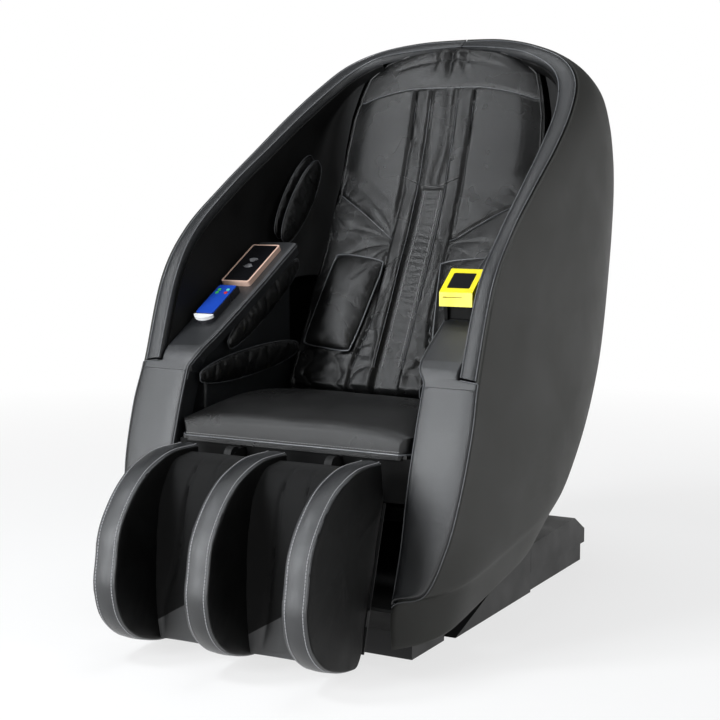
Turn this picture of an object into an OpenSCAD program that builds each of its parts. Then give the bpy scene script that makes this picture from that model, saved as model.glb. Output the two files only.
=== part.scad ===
// Capsule massage chair for a coin and card operated place.
// Millimetres, +Z up, the sitter faces -Y, origin on the floor under the middle of the chair.

/* [Capsule] */
// Width over both side shells
shell_w = 800; // [760:5:860]
// Wall of a side shell
shell_wall = 8; // [5:0.5:12]
// Depth of the padded rim band
rim_depth = 18; // [12:1:24]
// Crown of the padded rim band
rim_crown = 4; // [1:0.5:8]
// Wall of the inner liner
liner_wall = 5; // [3:0.5:8]
// Width of the seam strip down the middle of the back
seam_strip_w = 12; // [8:1:20]

/* [Arms] */
// Width of an armrest top
arm_w = 70; // [62:1:76]
// Reach of the armrest's top over the seat
arm_wing = 30; // [20:1:36]
// Slope of the armrest top in degrees
arm_slope = 29.5; // [25:0.5:33]
// Depth of the padded pillar in front of an armrest
pillar_depth = 60; // [40:1:80]

/* [Seat] */
// Height of the middle of the seat cushion over its board
seat_rise = 82; // [60:1:100]
// Height of the cushion's front edge
seat_edge = 28; // [22:1:36]
// Gap between the cushion and each armrest
seat_gap = 3; // [2:1:10]
// Thickness of the seat board
board_t = 10; // [6:1:15]

/* [Back] */
// Lean of the back from upright in degrees
back_lean = 24.5; // [20:0.5:28]
// Depth of the back cover behind the back plane
cover_t = 50; // [44:1:56]
// Length of the back cover below the head pad
cover_len = 728; // [700:1:728]
// Length of the head pad
head_len = 72; // [50:1:76]
// Thickness of a hip pad
hip_t = 26; // [15:1:35]

/* [Leg rest] */
// Width of a leg rest fin
fin_w = 53; // [40:1:60]
// Distance between two fins, centre to centre
fin_pitch = 206; // [196:1:214]
// Depth of the hollow of a calf channel
calf_hollow = 22; // [10:1:30]

/* [Base] */
// Width of the base over its covers
base_w = 584; // [540:2:620]
// Wall of a base cover
cover_wall = 4; // [3:0.5:6]
// Depth of the cover over the base's front end
plinth_d = 140; // [70:5:150]
// Height of a rubber foot
foot_h = 10; // [6:1:16]
// Diameter of a transport wheel
wheel_d = 50; // [40:1:56]
// Width of a transport wheel
wheel_w = 20; // [14:1:26]

/* [Pivots] */
// Diameter of the capsule's tilt pin
tilt_pin_d = 20; // [14:1:24]
// Diameter of the leg rest's hinge pin
leg_pin_d = 14; // [10:1:18]
// Radial play of a pin in its bore
play = 0.05; // [0.02:0.01:0.1]
// Thickness of a pivot plate
plate_t = 8; // [5:1:12]
// Outer radius of a pivot eye
eye_r = 18; // [14:1:20]

/* [Controls] */
// Width of the wireless charger
charger_w = 72; // [56:1:76]
// Length of the wireless charger
charger_l = 152; // [130:1:160]
// Thickness of the wireless charger
charger_t = 14; // [10:1:20]
// Width of the remote
remote_w = 48; // [44:1:56]
// Length of the remote without its end cap
remote_l = 110; // [90:1:116]
// Thickness of the remote
remote_t = 18; // [14:1:24]
// Diameter of a remote key
key_d = 8; // [5:0.5:9]
// Width of the payment terminal
terminal_w = 71; // [56:1:74]

/* [Hidden] */
$fn = 48;
small_gap = 0.3;
half_w = shell_w / 2;

// Side shell stations from the toe up to the crown:
// [front edge x, y, z, back y, back z, widest x, corner power, back roundness]
SHELL = [
    [276, -410, 42, 294, 167, 362, 8, 3.0],
    [272, -397, 120, 380, 222, 374, 8, 3.1],
    [334, -387, 147, 440, 270, 383, 6, 3.2],
    [364, -361, 225, 500, 335, 389, 4, 3.3],
    [382, -338, 322, 550, 410, 395, 2.5, 3.4],
    [388, -300, 440, 594, 505, 398, 2, 3.5],
    [384, -266, 530, 622, 600, 399, 2, 3.5],
    [386, -200, 698, 638, 720, 400, 2, 3.5],
    [386, -110, 800, 639, 800, 398, 2, 3.5],
    [380, 20, 889, 627, 875, 393, 2, 3.5],
    [372, 150, 970, 605, 940, 386, 2, 3.4],
    [357, 273, 1052, 578, 1010, 372, 2, 3.2],
    [328, 370, 1123, 552, 1075, 345, 2, 3.0],
    [276, 417, 1175, 532, 1120, 296, 2, 2.8],
    [195, 436, 1207, 520, 1155, 214, 2, 2.6],
    [100, 470, 1226, 514, 1185, 112, 2, 2.4],
    [0, 500, 1232, 512, 1204, 4, 2, 2.2]
];
rim_first = 6;
rim_last = 16;

// Inner edge of the rim band, one point for each station from rim_first on
RIM_INNER = [
    [346, -266, 536],
    [349, -200, 697],
    [354, -115, 797],
    [347, 20, 894],
    [334, 150, 975],
    [316, 270, 1054],
    [285, 358, 1120],
    [245, 392, 1160],
    [180, 404, 1190],
    [90, 436, 1205],
    [0, 470, 1213]
];

// Where the liner ends beside the back, for the same stations: y, z
LINER_END = [
    [262, 680],
    [300, 760],
    [332, 840],
    [362, 900],
    [384, 970],
    [402, 1040],
    [414, 1090],
    [424, 1130],
    [430, 1160]
];

seam_gap = 1.5;
shell_rows = 32;
shell_front_steps = 6;
shell_back_steps = 8;
shell_turn = 0.42;

// Seat
seat_front = -316;
seat_back = 92;
board_top = 390;
arm_front = -270;
arm_foot = 545;
arm_end = 112;
arm_bottom = 372;

// Back plane, measured up the back from its foot
back_y = 111;
back_z = 467;

// Leg rest hinge and capsule tilt pivot, [y, z]
leg_pivot = [-344, 362];
tilt_pivot = [160, 110];

// Strut between the base and the capsule, [y, z] of its two ends
strut_foot = [-100, 52];
strut_head = [-130, 310];

// Leg rest side outline, [y, z]
FIN = [
    [-362, 383], [-444, 383], [-511, 365], [-554, 340], [-592, 303],
    [-622, 256], [-634, 200], [-640, 150], [-622, 88], [-570, 40],
    [-486, 14], [-446, 24], [-420, 105], [-386, 210], [-352, 318]
];
// Front of a calf channel from top to bottom, [y, z]
CALF = [[-392, 372], [-448, 362], [-486, 320], [-506, 250], [-514, 170], [-512, 90], [-500, 24]];
// Back of a calf channel for the same rows, [y, z]
CALF_BACK = [[-368, 345], [-374, 318], [-384, 275], [-402, 220], [-420, 155], [-436, 90], [-452, 30]];

// Base outline seen from the side, [y, z]
WEDGE = [[-165, 2], [55, 71], [220, 108], [221, 108], [221, 2]];
CAP = [[222, 45], [222, 108], [490, 115], [555, 78], [555, 45]];
// How far the cap stands over the body below it at each side
cap_lip = 7;

half_base = base_w / 2;
function wide(x) = x * shell_w / 800;
arm_outer = wide(346) - liner_wall - 3;
arm_inner = arm_outer - arm_w;
seat_half = arm_inner - seat_gap;
back_half = arm_inner - 18;
liner_beside_back = 11;

// ---------- curves and skins ----------
// Smooth value at place t of a list of rows of equal length
function spline_at(rows, t) =
    let (last = len(rows) - 1,
         i = min(max(floor(t), 0), last - 1),
         f = t - i,
         a = rows[max(i - 1, 0)], b = rows[i], c = rows[i + 1], d = rows[min(i + 2, last)])
    0.5 * (2 * b + (c - a) * f + (2 * a - 5 * b + 4 * c - d) * f * f
        + (3 * b - a - 3 * c + d) * f * f * f);
function spline(rows, steps) =
    let (last = len(rows) - 1)
    [for (i = [0:steps]) spline_at(rows, last * i / steps)];
function unit(v) = v / norm(v);

// One closed slab from an outer and an inner grid of points
module slab(outer, inner) {
    rows = len(outer);
    cols = len(outer[0]);
    half = rows * cols;
    points = [for (g = [outer, inner]) for (row = g) for (p = row) p];
    function id(side, r, c) = side * half + r * cols + c;
    faces = [
        for (r = [0:rows - 2]) for (c = [0:cols - 2]) each [
            [id(0, r, c), id(0, r + 1, c), id(0, r, c + 1)],
            [id(0, r, c + 1), id(0, r + 1, c), id(0, r + 1, c + 1)],
            [id(1, r, c), id(1, r, c + 1), id(1, r + 1, c)],
            [id(1, r, c + 1), id(1, r + 1, c + 1), id(1, r + 1, c)]
        ],
        for (r = [0:rows - 2]) each [
            [id(0, r, 0), id(1, r, 0), id(0, r + 1, 0)],
            [id(0, r + 1, 0), id(1, r, 0), id(1, r + 1, 0)],
            [id(0, r, cols - 1), id(0, r + 1, cols - 1), id(1, r, cols - 1)],
            [id(0, r + 1, cols - 1), id(1, r + 1, cols - 1), id(1, r, cols - 1)]
        ],
        for (c = [0:cols - 2]) each [
            [id(0, 0, c), id(0, 0, c + 1), id(1, 0, c)],
            [id(0, 0, c + 1), id(1, 0, c + 1), id(1, 0, c)],
            [id(0, rows - 1, c), id(1, rows - 1, c), id(0, rows - 1, c + 1)],
            [id(0, rows - 1, c + 1), id(1, rows - 1, c), id(1, rows - 1, c + 1)]
        ]
    ];
    polyhedron(points, faces);
}

// One closed solid through rings of equal length, with a middle point in each end cap
module loft(rings) {
    n = len(rings[0]);
    last = len(rings) - 1;
    function mean(ring) = [for (k = [0:2]) sum([for (p = ring) p[k]]) / n];
    points = concat([for (ring = rings) for (p = ring) p], [mean(rings[0]), mean(rings[last])]);
    first_mid = n * (last + 1);
    faces = [
        for (r = [0:last - 1]) for (i = [0:n - 1]) each [
            [r * n + i, (r + 1) * n + i, r * n + (i + 1) % n],
            [r * n + (i + 1) % n, (r + 1) * n + i, (r + 1) * n + (i + 1) % n]
        ],
        for (i = [0:n - 1]) [first_mid, i, (i + 1) % n],
        for (i = [0:n - 1]) [first_mid + 1, last * n + (i + 1) % n, last * n + i]
    ];
    polyhedron(points, faces);
}
function sum(v, i = 0) = i >= len(v) ? 0 : v[i] + sum(v, i + 1);

// A flat pillow with a seam round its edge, lying in X and Y, swelling along Z
module pillow(length, width, thick, pointed = 1) {
    rows = 8;
    n = 12;
    rings = [for (r = [0:rows])
        let (s = -1 + 2 * (r + 0.12) / (rows + 0.24),
             reach = sqrt(1 - s * s),
             swell = pow(1 - pow(abs(s), 3), 0.6))
        [for (i = [0:n - 1])
            let (a = 360 * i / n)
            [s * length / 2,
             width / 2 * pow(reach, pointed) * cos(a),
             thick / 2 * swell * sin(a) * (0.55 + 0.45 * abs(sin(a)))]]];
    loft(rings);
}

// A rounded bar with its axis along X
module rod_x(d, length, y, z, x = 0) {
    translate([x, y, z]) rotate([0, 90, 0]) cylinder(d = d, h = length, center = true);
}
// A box given by its middle in X and its low corner in Y and Z
module bar(w, d, h, y, z, x = 0) {
    translate([x - w / 2, y, z]) cube([w, d, h]);
}
// A square tube, hollow along its longer side
tube_wall = 3;
module tube(w, d, h, y, z, x = 0) {
    difference() {
        bar(w, d, h, y, z, x);
        if (w > d) bar(w + 2, d - 2 * tube_wall, h - 2 * tube_wall, y + tube_wall, z + tube_wall, x);
        else bar(w - 2 * tube_wall, d + 2, h - 2 * tube_wall, y - 1, z + tube_wall, x);
    }
}
// A pivot plate in the YZ plane from a foot to an eye
module pivot_plate(x, eye, foot_y, foot_w, foot_z, bore_d) {
    difference() {
        union() {
            translate([x, eye[0], eye[1]]) rotate([0, 90, 0]) cylinder(r = eye_r, h = plate_t, center = true);
            translate([x - plate_t / 2, 0, 0]) rotate([90, 0, 90]) linear_extrude(plate_t)
                polygon([[foot_y - foot_w / 2, foot_z], [foot_y + foot_w / 2, foot_z],
                         [eye[0] + eye_r * 0.9, eye[1]], [eye[0] - eye_r * 0.9, eye[1]]]);
        }
        if (bore_d > 0) rod_x(bore_d, plate_t + 2, eye[0], eye[1], x);
    }
}
// Places its children on the back plane: +Z runs up the back, +Y behind it
module on_back() {
    translate([0, back_y, back_z]) rotate([-back_lean, 0, 0]) children();
}
module both_sides() {
    children();
    mirror([1, 0, 0]) children();
}

// ---------- capsule shell ----------
// Point of the shell at station t and place u, 0 at the front edge and 1 at the back seam
function shell_point(t, u) =
    let (s = spline_at(SHELL, t),
         turn_y = s[1] + shell_turn * (s[3] - s[1]),
         rear = u > 0.5,
         f = pow(min(u * 2, 1), 1.6),
         a = rear ? 90 * (u * 2 - 1) : 0,
         y = rear ? turn_y + (s[3] - turn_y) * pow(sin(a), 2 / s[7])
                  : s[1] + (turn_y - s[1]) * f,
         x = rear ? s[5] * pow(max(cos(a), 0), 2 / s[7])
                  : s[5] - (s[5] - s[0]) * pow(1 - f, s[6]),
         z = s[2] + (s[4] - s[2]) * pow(max(y - s[1], 0) / (s[3] - s[1]), min(1, 0.76 + 0.08 * t)))
    [seam_gap + wide(x) * (1 - seam_gap / half_w), y, z];
function shell_normal(t, u) =
    let (e = 0.01,
         last = rim_last,
         along = shell_point(t, min(u + e, 1)) - shell_point(t, max(u - e, 0)),
         up = shell_point(min(t + e, last), u) - shell_point(max(t - e, 0), u))
    unit(cross(along, up));
function shell_u(c) = c <= shell_front_steps ? 0.5 * c / shell_front_steps
    : 0.5 + 0.5 * (c - shell_front_steps) / shell_back_steps;
module side_shell() {
    cols = shell_front_steps + shell_back_steps;
    outer = [for (r = [0:shell_rows]) [for (c = [0:cols])
        shell_point(rim_last * r / shell_rows, shell_u(c))]];
    inner = [for (r = [0:shell_rows]) [for (c = [0:cols])
        let (t = rim_last * r / shell_rows,
             p = shell_point(t, shell_u(c)) - shell_wall * shell_normal(t, shell_u(c)))
        [max(p[0], seam_gap), p[1], p[2]]]];
    slab(outer, inner);
}
module side_shell_left() { color("dimgray") side_shell(); }
module side_shell_right() { color("dimgray") mirror([1, 0, 0]) side_shell(); }

// ---------- rim band, liner and arms ----------
function rim_outer(i) =
    let (s = SHELL[rim_first + i])
    [seam_gap + wide(s[0]) * (1 - seam_gap / half_w), s[1], s[2]];
function rim_inner(i) =
    [seam_gap + wide(RIM_INNER[i][0]) * (1 - seam_gap / half_w), RIM_INNER[i][1], RIM_INNER[i][2]];
rim_steps = 26;
// Extra room between band and shell where both turn over the crown
crown_gap = 5;
RIM_O = spline([for (i = [0:rim_last - rim_first]) rim_outer(i)], rim_steps);
RIM_I = spline([for (i = [0:rim_last - rim_first]) rim_inner(i)], rim_steps);
// Direction along the band and the way its padded face looks
function rim_along(r) = unit(RIM_O[min(r + 1, rim_steps)] - RIM_O[max(r - 1, 0)]);
function rim_face(r) =
    let (v = unit(cross(rim_along(r), RIM_I[r] - RIM_O[r]))) v[1] > 0 && v[2] < 0.2 ? -v : v;
// Section of the band: across runs from the shell's inside, 0, to the liner's edge, 1
function rim_ring(r) =
    let (o = RIM_O[r], i = RIM_I[r], w = unit(i - o), f = rim_face(r),
         start = o + w * (shell_wall + 2 * small_gap + crown_gap * pow(r / rim_steps, 12)))
    [start - f * rim_depth,
     i - f * rim_depth,
     for (k = [6:-1:0])
        let (q = k / 6) start + (i - start) * q + f * rim_crown * sin(180 * q)];
module rim_band() {
    intersection() {
        loft([for (r = [0:rim_steps]) rim_ring(r)]);
        translate([seam_gap, -600, 500]) cube([600, 1400, 900]);
    }
}
module rim_band_left() { color("slategray") rim_band(); }
module rim_band_right() { color("slategray") mirror([1, 0, 0]) rim_band(); }

// Point of the liner at station t and place u, 0 behind the band and 1 beside the back
liner_rows = 16;
liner_cols = 10;
liner_last = len(LINER_END) - 1;
LINER_START = [for (i = [0:rim_last - rim_first]) rim_inner(i)];
function liner_point(t, u) =
    let (r = t / liner_last * rim_steps * 8 / 10,
         k = floor(r),
         g = r - k,
         face = unit(rim_face(k) * (1 - g) + rim_face(min(k + 1, rim_steps)) * g),
         edge = RIM_I[k] * (1 - g) + RIM_I[min(k + 1, rim_steps)] * g
                - face * (rim_depth + small_gap),
         e = spline_at(LINER_END, t),
         rear_x = back_width((e[1] - back_z) / cos(back_lean)) + liner_beside_back,
         turn = edge[1] + 0.62 * (e[0] - edge[1]),
         f = min(u / 0.4, 1),
         a = max(0, (u - 0.4) / 0.6) * 90,
         y = u < 0.4 ? edge[1] + (turn - edge[1]) * f : turn + (e[0] - turn) * pow(sin(a), 0.6),
         x = rear_x + (edge[0] - rear_x) * (u < 0.4 ? 1 : pow(max(cos(a), 0), 0.6)),
         z = edge[2] + (e[1] - edge[2]) * (y - edge[1]) / (e[0] - edge[1]))
    [x, y, z];
function liner_normal(t, u) =
    let (along = liner_point(t, min(u + 0.02, 1)) - liner_point(t, max(u - 0.02, 0)),
         up = liner_point(min(t + 0.05, liner_last), u)
            - liner_point(max(t - 0.05, 0), u))
    unit(cross(along, up));
module inner_liner() {
    front = [for (r = [0:liner_rows]) [for (c = [0:liner_cols])
        let (t = liner_last * r / liner_rows, u = c / liner_cols)
        liner_point(t, u) - liner_wall * liner_normal(t, u)]];
    rear = [for (r = [0:liner_rows]) [for (c = [0:liner_cols])
        liner_point(liner_last * r / liner_rows, c / liner_cols)]];
    slab(rear, front);
}
module inner_liner_left() { color("black") inner_liner(); }
module inner_liner_right() { color("black") mirror([1, 0, 0]) inner_liner(); }

// Height of an armrest top at y
function arm_top(y) = arm_foot + (y - arm_front) * tan(arm_slope);
pillar_rows = 14;
pillar_start = 1;
pillar_top = rim_first - 0.02;
module arm_pillar() {
    // The pillar fills the front of the shell from the toe's seam up to the rim band
    loft([for (r = [0:pillar_rows])
        let (t = pillar_start + (pillar_top - pillar_start) * r / pillar_rows,
             // The top leans back under the end of the rim band
             lean = 0.4 * pow(r / pillar_rows, 6),
             // Its foot stays clear of the toe's top edge
             lift = 7 * pow(1 - r / pillar_rows, 2),
             s = spline_at(SHELL, t),
             low = arm_inner + 2,
             out = max(wide(s[0]) - shell_wall - 3, low + 4),
             back = min(pillar_depth, 40 + (out - low)))
        [for (p = [[low, 5], [low + 4, -1], [(low + out) / 2, -4], [out - 4, -1], [out, 4], [out, back], [low, back]])
            [p[0], s[1] + p[1], s[2] + lift - lean * max(p[1], 0)]]]);
}
// How far the armrest's top reaches over the seat, at y
WING = [[arm_front + 2, 0.1], [arm_front + 12, 0.55], [arm_front + 60, 0.8], [arm_front + 150, 0.92], [arm_front + 250, 1], [arm_end, 1]];
wing_t = 26;
module arm_top_wing() {
    loft([for (w = WING)
        let (y = w[0], top = arm_top(y), inner = arm_inner - arm_wing * w[1], out = arm_inner + 2)
        [[inner + 3, y, top - wing_t], [inner, y, top - wing_t + 6], [inner, y, top - 5],
         [inner + 4, y, top], [out, y, top], [out, y, top - wing_t]]]);
}
module arm() {
    arm_pillar();
    arm_top_wing();
    translate([arm_inner, 0, 0]) rotate([90, 0, 90]) linear_extrude(arm_w)
        polygon([[arm_front + pillar_depth + 2, arm_bottom], [arm_front + pillar_depth + 2, 500],
                 [arm_front + 3, 505], [arm_front - 1, 536], [arm_front + 4, arm_top(arm_front + 4)],
                 [arm_end, arm_top(arm_end)], [arm_end + 20, arm_top(arm_end) - 12],
                 [arm_end + 20, arm_bottom]]);
}
module arm_left() { color("gray") arm(); }
module arm_right() { color("gray") mirror([1, 0, 0]) arm(); }

// A swollen leaf against the liner or the armrest
shoulder_bag = [250, 84, 24];
bag_x = arm_outer - 15;
module shoulder_airbag() {
    for (leaf = [0, 1])
        translate([bag_x - leaf * (shoulder_bag[2] + 0.6), 245 - leaf * 10, 865 - leaf * 12])
            rotate([47, 0, 0]) rotate([0, 90, 0]) rotate([0, 0, 90])
                pillow(shoulder_bag[0], shoulder_bag[1], shoulder_bag[2], 0.9);
}
module shoulder_airbag_left() { color("darkslategray") shoulder_airbag(); }
module shoulder_airbag_right() { color("darkslategray") mirror([1, 0, 0]) shoulder_airbag(); }
arm_bag_t = 30;
arm_leaf_w = 60;
module arm_airbag() {
    // The upper leaf follows the armrest's slope, the lower one lies along the seat
    translate([arm_inner - arm_bag_t / 2 - small_gap, 0, 0]) {
        translate([0, 0, arm_top(0) - (wing_t * cos(arm_slope) + arm_leaf_w / 2 + 1) / cos(arm_slope)])
            rotate([arm_slope, 0, 0]) rotate([0, 90, 0]) rotate([0, 0, 90]) pillow(340, arm_leaf_w, arm_bag_t, 0.8);
        translate([0, -55, 512]) rotate([4, 0, 0]) rotate([0, 90, 0]) rotate([0, 0, 90])
            pillow(400, 60, arm_bag_t, 0.8);
    }
}
module arm_airbag_left() { color("darkslategray") arm_airbag(); }
module arm_airbag_right() { color("darkslategray") mirror([1, 0, 0]) arm_airbag(); }

// ---------- seat ----------
seat_rear = 41;
// Top of the cushion at x and at depth q, 0 at the front and 1 at the back
function seat_top(x, q) =
    let (s = x / seat_half,
         side = 1 - pow(abs(s), 6),
         edge = seat_edge + (seat_rear - seat_edge) * q,
         run = pow(max(sin(180 * min(q * 1.25 + 0.01, 0.5 + 0.5 * q)), 0), 0.9))
    edge * 0.55 + (edge * 0.45 + (seat_rise - edge) * run * (1 - 0.22 * s * s)) * max(side, 0);
seat_cols = 16;
seat_rows = 15;
module seat_cushion() {
    cushion_z = board_top + small_gap;
    corner = 46;
    rows = [for (r = [0:seat_rows]) let (q = r / seat_rows)
        [for (c = [0:seat_cols])
            let (v = sin(90 * (-1 + 2 * c / seat_cols)),
                 y = seat_front + q * (seat_back - seat_front),
                 tuck = max(0, corner - min(y - seat_front, seat_back - y)) / corner,
                 half = seat_half - 22 * pow(tuck, 3),
                 x = v * half)
            [x, y + 6 * (1 - v * v) * (q == 0 ? -1 : 0), cushion_z + seat_top(v * seat_half, q)]]];
    base = [for (row = rows) [for (p = row) [p[0] * 0.985, p[1], cushion_z]]];
    color("dimgray") slab(rows, base);
}

// ---------- back ----------
// How far the front of the back cover stands before or behind the back plane at height s
HOLLOW = [[0, 0], [120, 12], [244, 21], [350, 30], [457, 33], [580, 22], [710, 3], [800, -6]];
function hollow_at(s) = lookup(s, HOLLOW);
// Half width of the back at height s
WIDTH = [[0, 1], [560, 1], [640, 0.975], [700, 0.92], [740, 0.84], [775, 0.61], [800, 0.3]];
function back_width(s) = back_half * lookup(s, WIDTH);
strip_x = 55;
strip_w = 36;
strip_h = 12;
channel_top = 470;
// Front of the back cover over the plane at x and height s
function back_front(x, s) =
    let (v = x / back_width(s),
         crown = 20 * (1 - pow(abs(v), 4)),
         strip = strip_h * exp(-pow((abs(x) - strip_x) / (strip_w * 0.5), 4)),
         channel = abs(x) < strip_x && s < channel_top ? -6 : 0)
    hollow_at(s) - crown - strip - channel;
cover_cols = 20;
cover_rows = 19;
cover_foot = -34;
module back_skin(from, to, rows, lift) {
    front = [for (r = [0:rows]) let (s = from + (to - from) * r / rows,
                                     edge = min(s - from, to - s),
                                     roll = edge < 12 ? 10 - edge * 10 / 12 : 0)
        [for (c = [0:cover_cols])
            let (x = (back_width(s) - roll * 0.5) * sin(90 * (-1 + 2 * c / cover_cols)))
            [x, back_front(x, s) - lift + roll, s]]];
    rear = [for (row = front) [for (p = row) [p[0], cover_t, p[2]]]];
    slab(front, rear);
}
module back_cover() { color("dimgray") on_back() back_skin(cover_foot, cover_len - small_gap, cover_rows, 0); }
module head_pad() { color("gray") on_back() back_skin(cover_len, cover_len + head_len, 8, 8); }

hip_w = 136;
hip_h = 240;
hip_inset = 92;
hip_x = back_half - hip_inset;
hip_s = 170;
hip_gap = 1.2;
module hip_pad() {
    // A rounded pad that lies on the cover and follows its form
    n = 9;
    function swell(a, b) = pow(max(1 - pow(a, 6), 0), 0.5) * pow(max(1 - pow(b, 6), 0), 0.5);
    function place(r, c) =
        let (a = sin(90 * (-1 + 2 * c / n)), b = sin(90 * (-1 + 2 * r / n)), k = 1 - 0.12 * pow(a * b, 2))
        [hip_x + a * k * hip_w / 2, hip_s + b * k * hip_h / 2, hip_t * swell(a, b)];
    front = [for (r = [0:n]) [for (c = [0:n]) let (p = place(r, c))
        [p[0], back_front(p[0], p[1]) - hip_gap - 3 - p[2], p[1]]]];
    rear = [for (r = [0:n]) [for (c = [0:n]) let (p = place(r, c))
        [p[0], back_front(p[0], p[1]) - hip_gap, p[1]]]];
    on_back() slab(front, rear);
}
module hip_pad_left() { color("gray") hip_pad(); }
module hip_pad_right() { color("gray") mirror([1, 0, 0]) hip_pad(); }

// ---------- capsule frame ----------
tube_w = 30;
rail_top = board_top - board_t;
rail_x = 236;
pan_t = 6;
pan_front = [-384, 104];
pan_rear = [225, 173];
lug_x = 150;
// Height of the pan's underside at y
function pan_z(y) = pan_front[1] + (y - pan_front[0]) * (pan_rear[1] - pan_front[1]) / (pan_rear[0] - pan_front[0]);
frame_low = 196;
post_y = [-100, 60];
module seat_frame() {
    color("silver") {
        both_sides() {
            tube(tube_w, 400, tube_w, seat_front + 12, rail_top - tube_w, rail_x);
            pivot_ear(ear_x);
            // Brackets that carry the armrest
            bracket_x = rail_x + tube_w / 2 - 1;
            for (y = [-180, 30]) translate([bracket_x, y, arm_bottom])
                cube([arm_inner - small_gap - bracket_x, tube_w, rail_top - arm_bottom]);
        }
        for (y = [seat_front + 14, post_y[1]]) tube(cross_w, tube_w, tube_w, y, rail_top - tube_w);
    }
}
cross_w = 2 * rail_x - tube_w;
module seat_board() {
    color("tan") bar(2 * seat_half - 20, seat_back - seat_front - 20, board_t - small_gap, seat_front + 8,
        board_top - board_t + small_gap);
}
module lower_frame() {
    color("silver") {
        both_sides() {
            tube(tube_w, 330, tube_w, -100, frame_low, rail_x);
            // Posts up to the seat rail and down to the bottom pan
            for (y = post_y) {
                bar(tube_w, tube_w, rail_top - frame_low - 2 * tube_w - small_gap + 1, y, frame_low + tube_w - 1, rail_x);
                post_z = pan_z(y + tube_w) + pan_t + small_gap;
                bar(tube_w, tube_w, frame_low - post_z + 1, y, post_z, rail_x);
            }
            // Lug that carries the capsule on the tilt pin
            pivot_plate(lug_x, tilt_pivot, tilt_pivot[0], 90, frame_low, tilt_pin_d + 2 * play);
        }
        // Cross tubes: two by the tilt lugs, one for the strut's yoke
        for (y = [110, 180, yoke_foot_y]) tube(cross_w, tube_w, tube_w, y, frame_low);
        strut_yoke();
    }
}
// Covered board that closes the front below the cushion, with a slot for each ear
apron_t = 3;
apron_h = 86;
module seat_apron() {
    color("black") difference() {
        bar(2 * arm_inner - 8, apron_t, apron_h, seat_front + 12 - small_gap - apron_t, rail_top - apron_h);
        both_sides() bar(plate_t + 4, 20, apron_h, seat_front, rail_top - 46, ear_x);
    }
}
// Ear in front of the seat rail that holds the leg rest's pin
module pivot_ear(x) {
    difference() {
        union() {
            translate([x, leg_pivot[0], leg_pivot[1]]) rotate([0, 90, 0])
                cylinder(r = eye_r, h = plate_t, center = true);
            bar(plate_t, seat_front + 14 - leg_pivot[0], 24, leg_pivot[0], leg_pivot[1] - 12, x);
        }
        rod_x(leg_pin_d + 2 * play, plate_t + 2, leg_pivot[0], leg_pivot[1], x);
    }
}
yoke_pin_d = 12;
yoke_x = 26;
yoke_foot_y = -60;
module strut_yoke() {
    both_sides() translate([yoke_x - plate_t / 2, 0, 0]) rotate([90, 0, 90]) linear_extrude(plate_t)
        polygon([[yoke_foot_y, frame_low], [yoke_foot_y + tube_w, frame_low],
                 [yoke_foot_y + tube_w, frame_low + tube_w], [strut_head[0] + 20, strut_head[1] + 14],
                 [strut_head[0] - 14, strut_head[1] + 14], [strut_head[0] - 14, strut_head[1] - 14],
                 [yoke_foot_y, frame_low + tube_w]]);
    rod_x(yoke_pin_d, 2 * yoke_x, strut_head[0], strut_head[1]);
}

back_rail_x = 168;
back_rail_d = 24;
rail_off = 96;
rail_len = 620;
module back_frame() {
    color("silver") {
        on_back() {
            both_sides() translate([back_rail_x, rail_off, -20]) cylinder(d = back_rail_d, h = rail_len);
            // Backboards that the cover lies on
            for (s = [40, rail_len - 70])
                translate([-back_half + 20, cover_t + small_gap, s])
                    cube([2 * back_half - 40, rail_off - back_rail_d / 2 + 2 - cover_t - small_gap, 40]);
            translate([-back_rail_x, rail_off - 8, rail_len - 46]) cube([2 * back_rail_x, 16, 20]);
        }
        // Feet that stand on the lower frame
        both_sides() translate([back_rail_x, 194, frame_low + tube_w]) cylinder(d = back_rail_d, h = 192);
    }
}
module bottom_pan() {
    half = arm_inner + 6;
    color("black") difference() {
        translate([-half, 0, 0]) rotate([90, 0, 90]) linear_extrude(2 * half)
            polygon([pan_front, pan_rear, [pan_rear[0], pan_rear[1] + pan_t], [pan_front[0], pan_front[1] + pan_t]]);
        // Slots for the two lugs and the strut
        both_sides() bar(plate_t + 6, 120, 60, tilt_pivot[0] - 60, pan_z(tilt_pivot[0]) - 30, lug_x);
        bar(70, 150, 60, -200, pan_z(-130) - 30);
    }
}
module rear_seam_strip() {
    // Piped strip over the seam between the two shells, on their inside
    rows = 20;
    color("dimgray") loft([for (r = [0:rows])
        let (p = shell_point((rim_last - 1.5) * r / rows, 1),
             n = shell_normal((rim_last - 1.5) * r / rows, 0.97),
             m = unit([0, n[1], n[2]]),
             q = p - m * (shell_wall + 0.8))
        [[-seam_strip_w / 2, q[1] - 3 * m[1], q[2] - 3 * m[2]],
         [seam_strip_w / 2, q[1] - 3 * m[1], q[2] - 3 * m[2]],
         [seam_strip_w / 2, q[1], q[2]], [-seam_strip_w / 2, q[1], q[2]]]]);
}
module control_box() {
    color("dimgray") {
        bar(150, 110, 60, 106, frame_low + tube_w);
        bar(90, 90, 50, 112, frame_low + tube_w + 60);
    }
}

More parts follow.
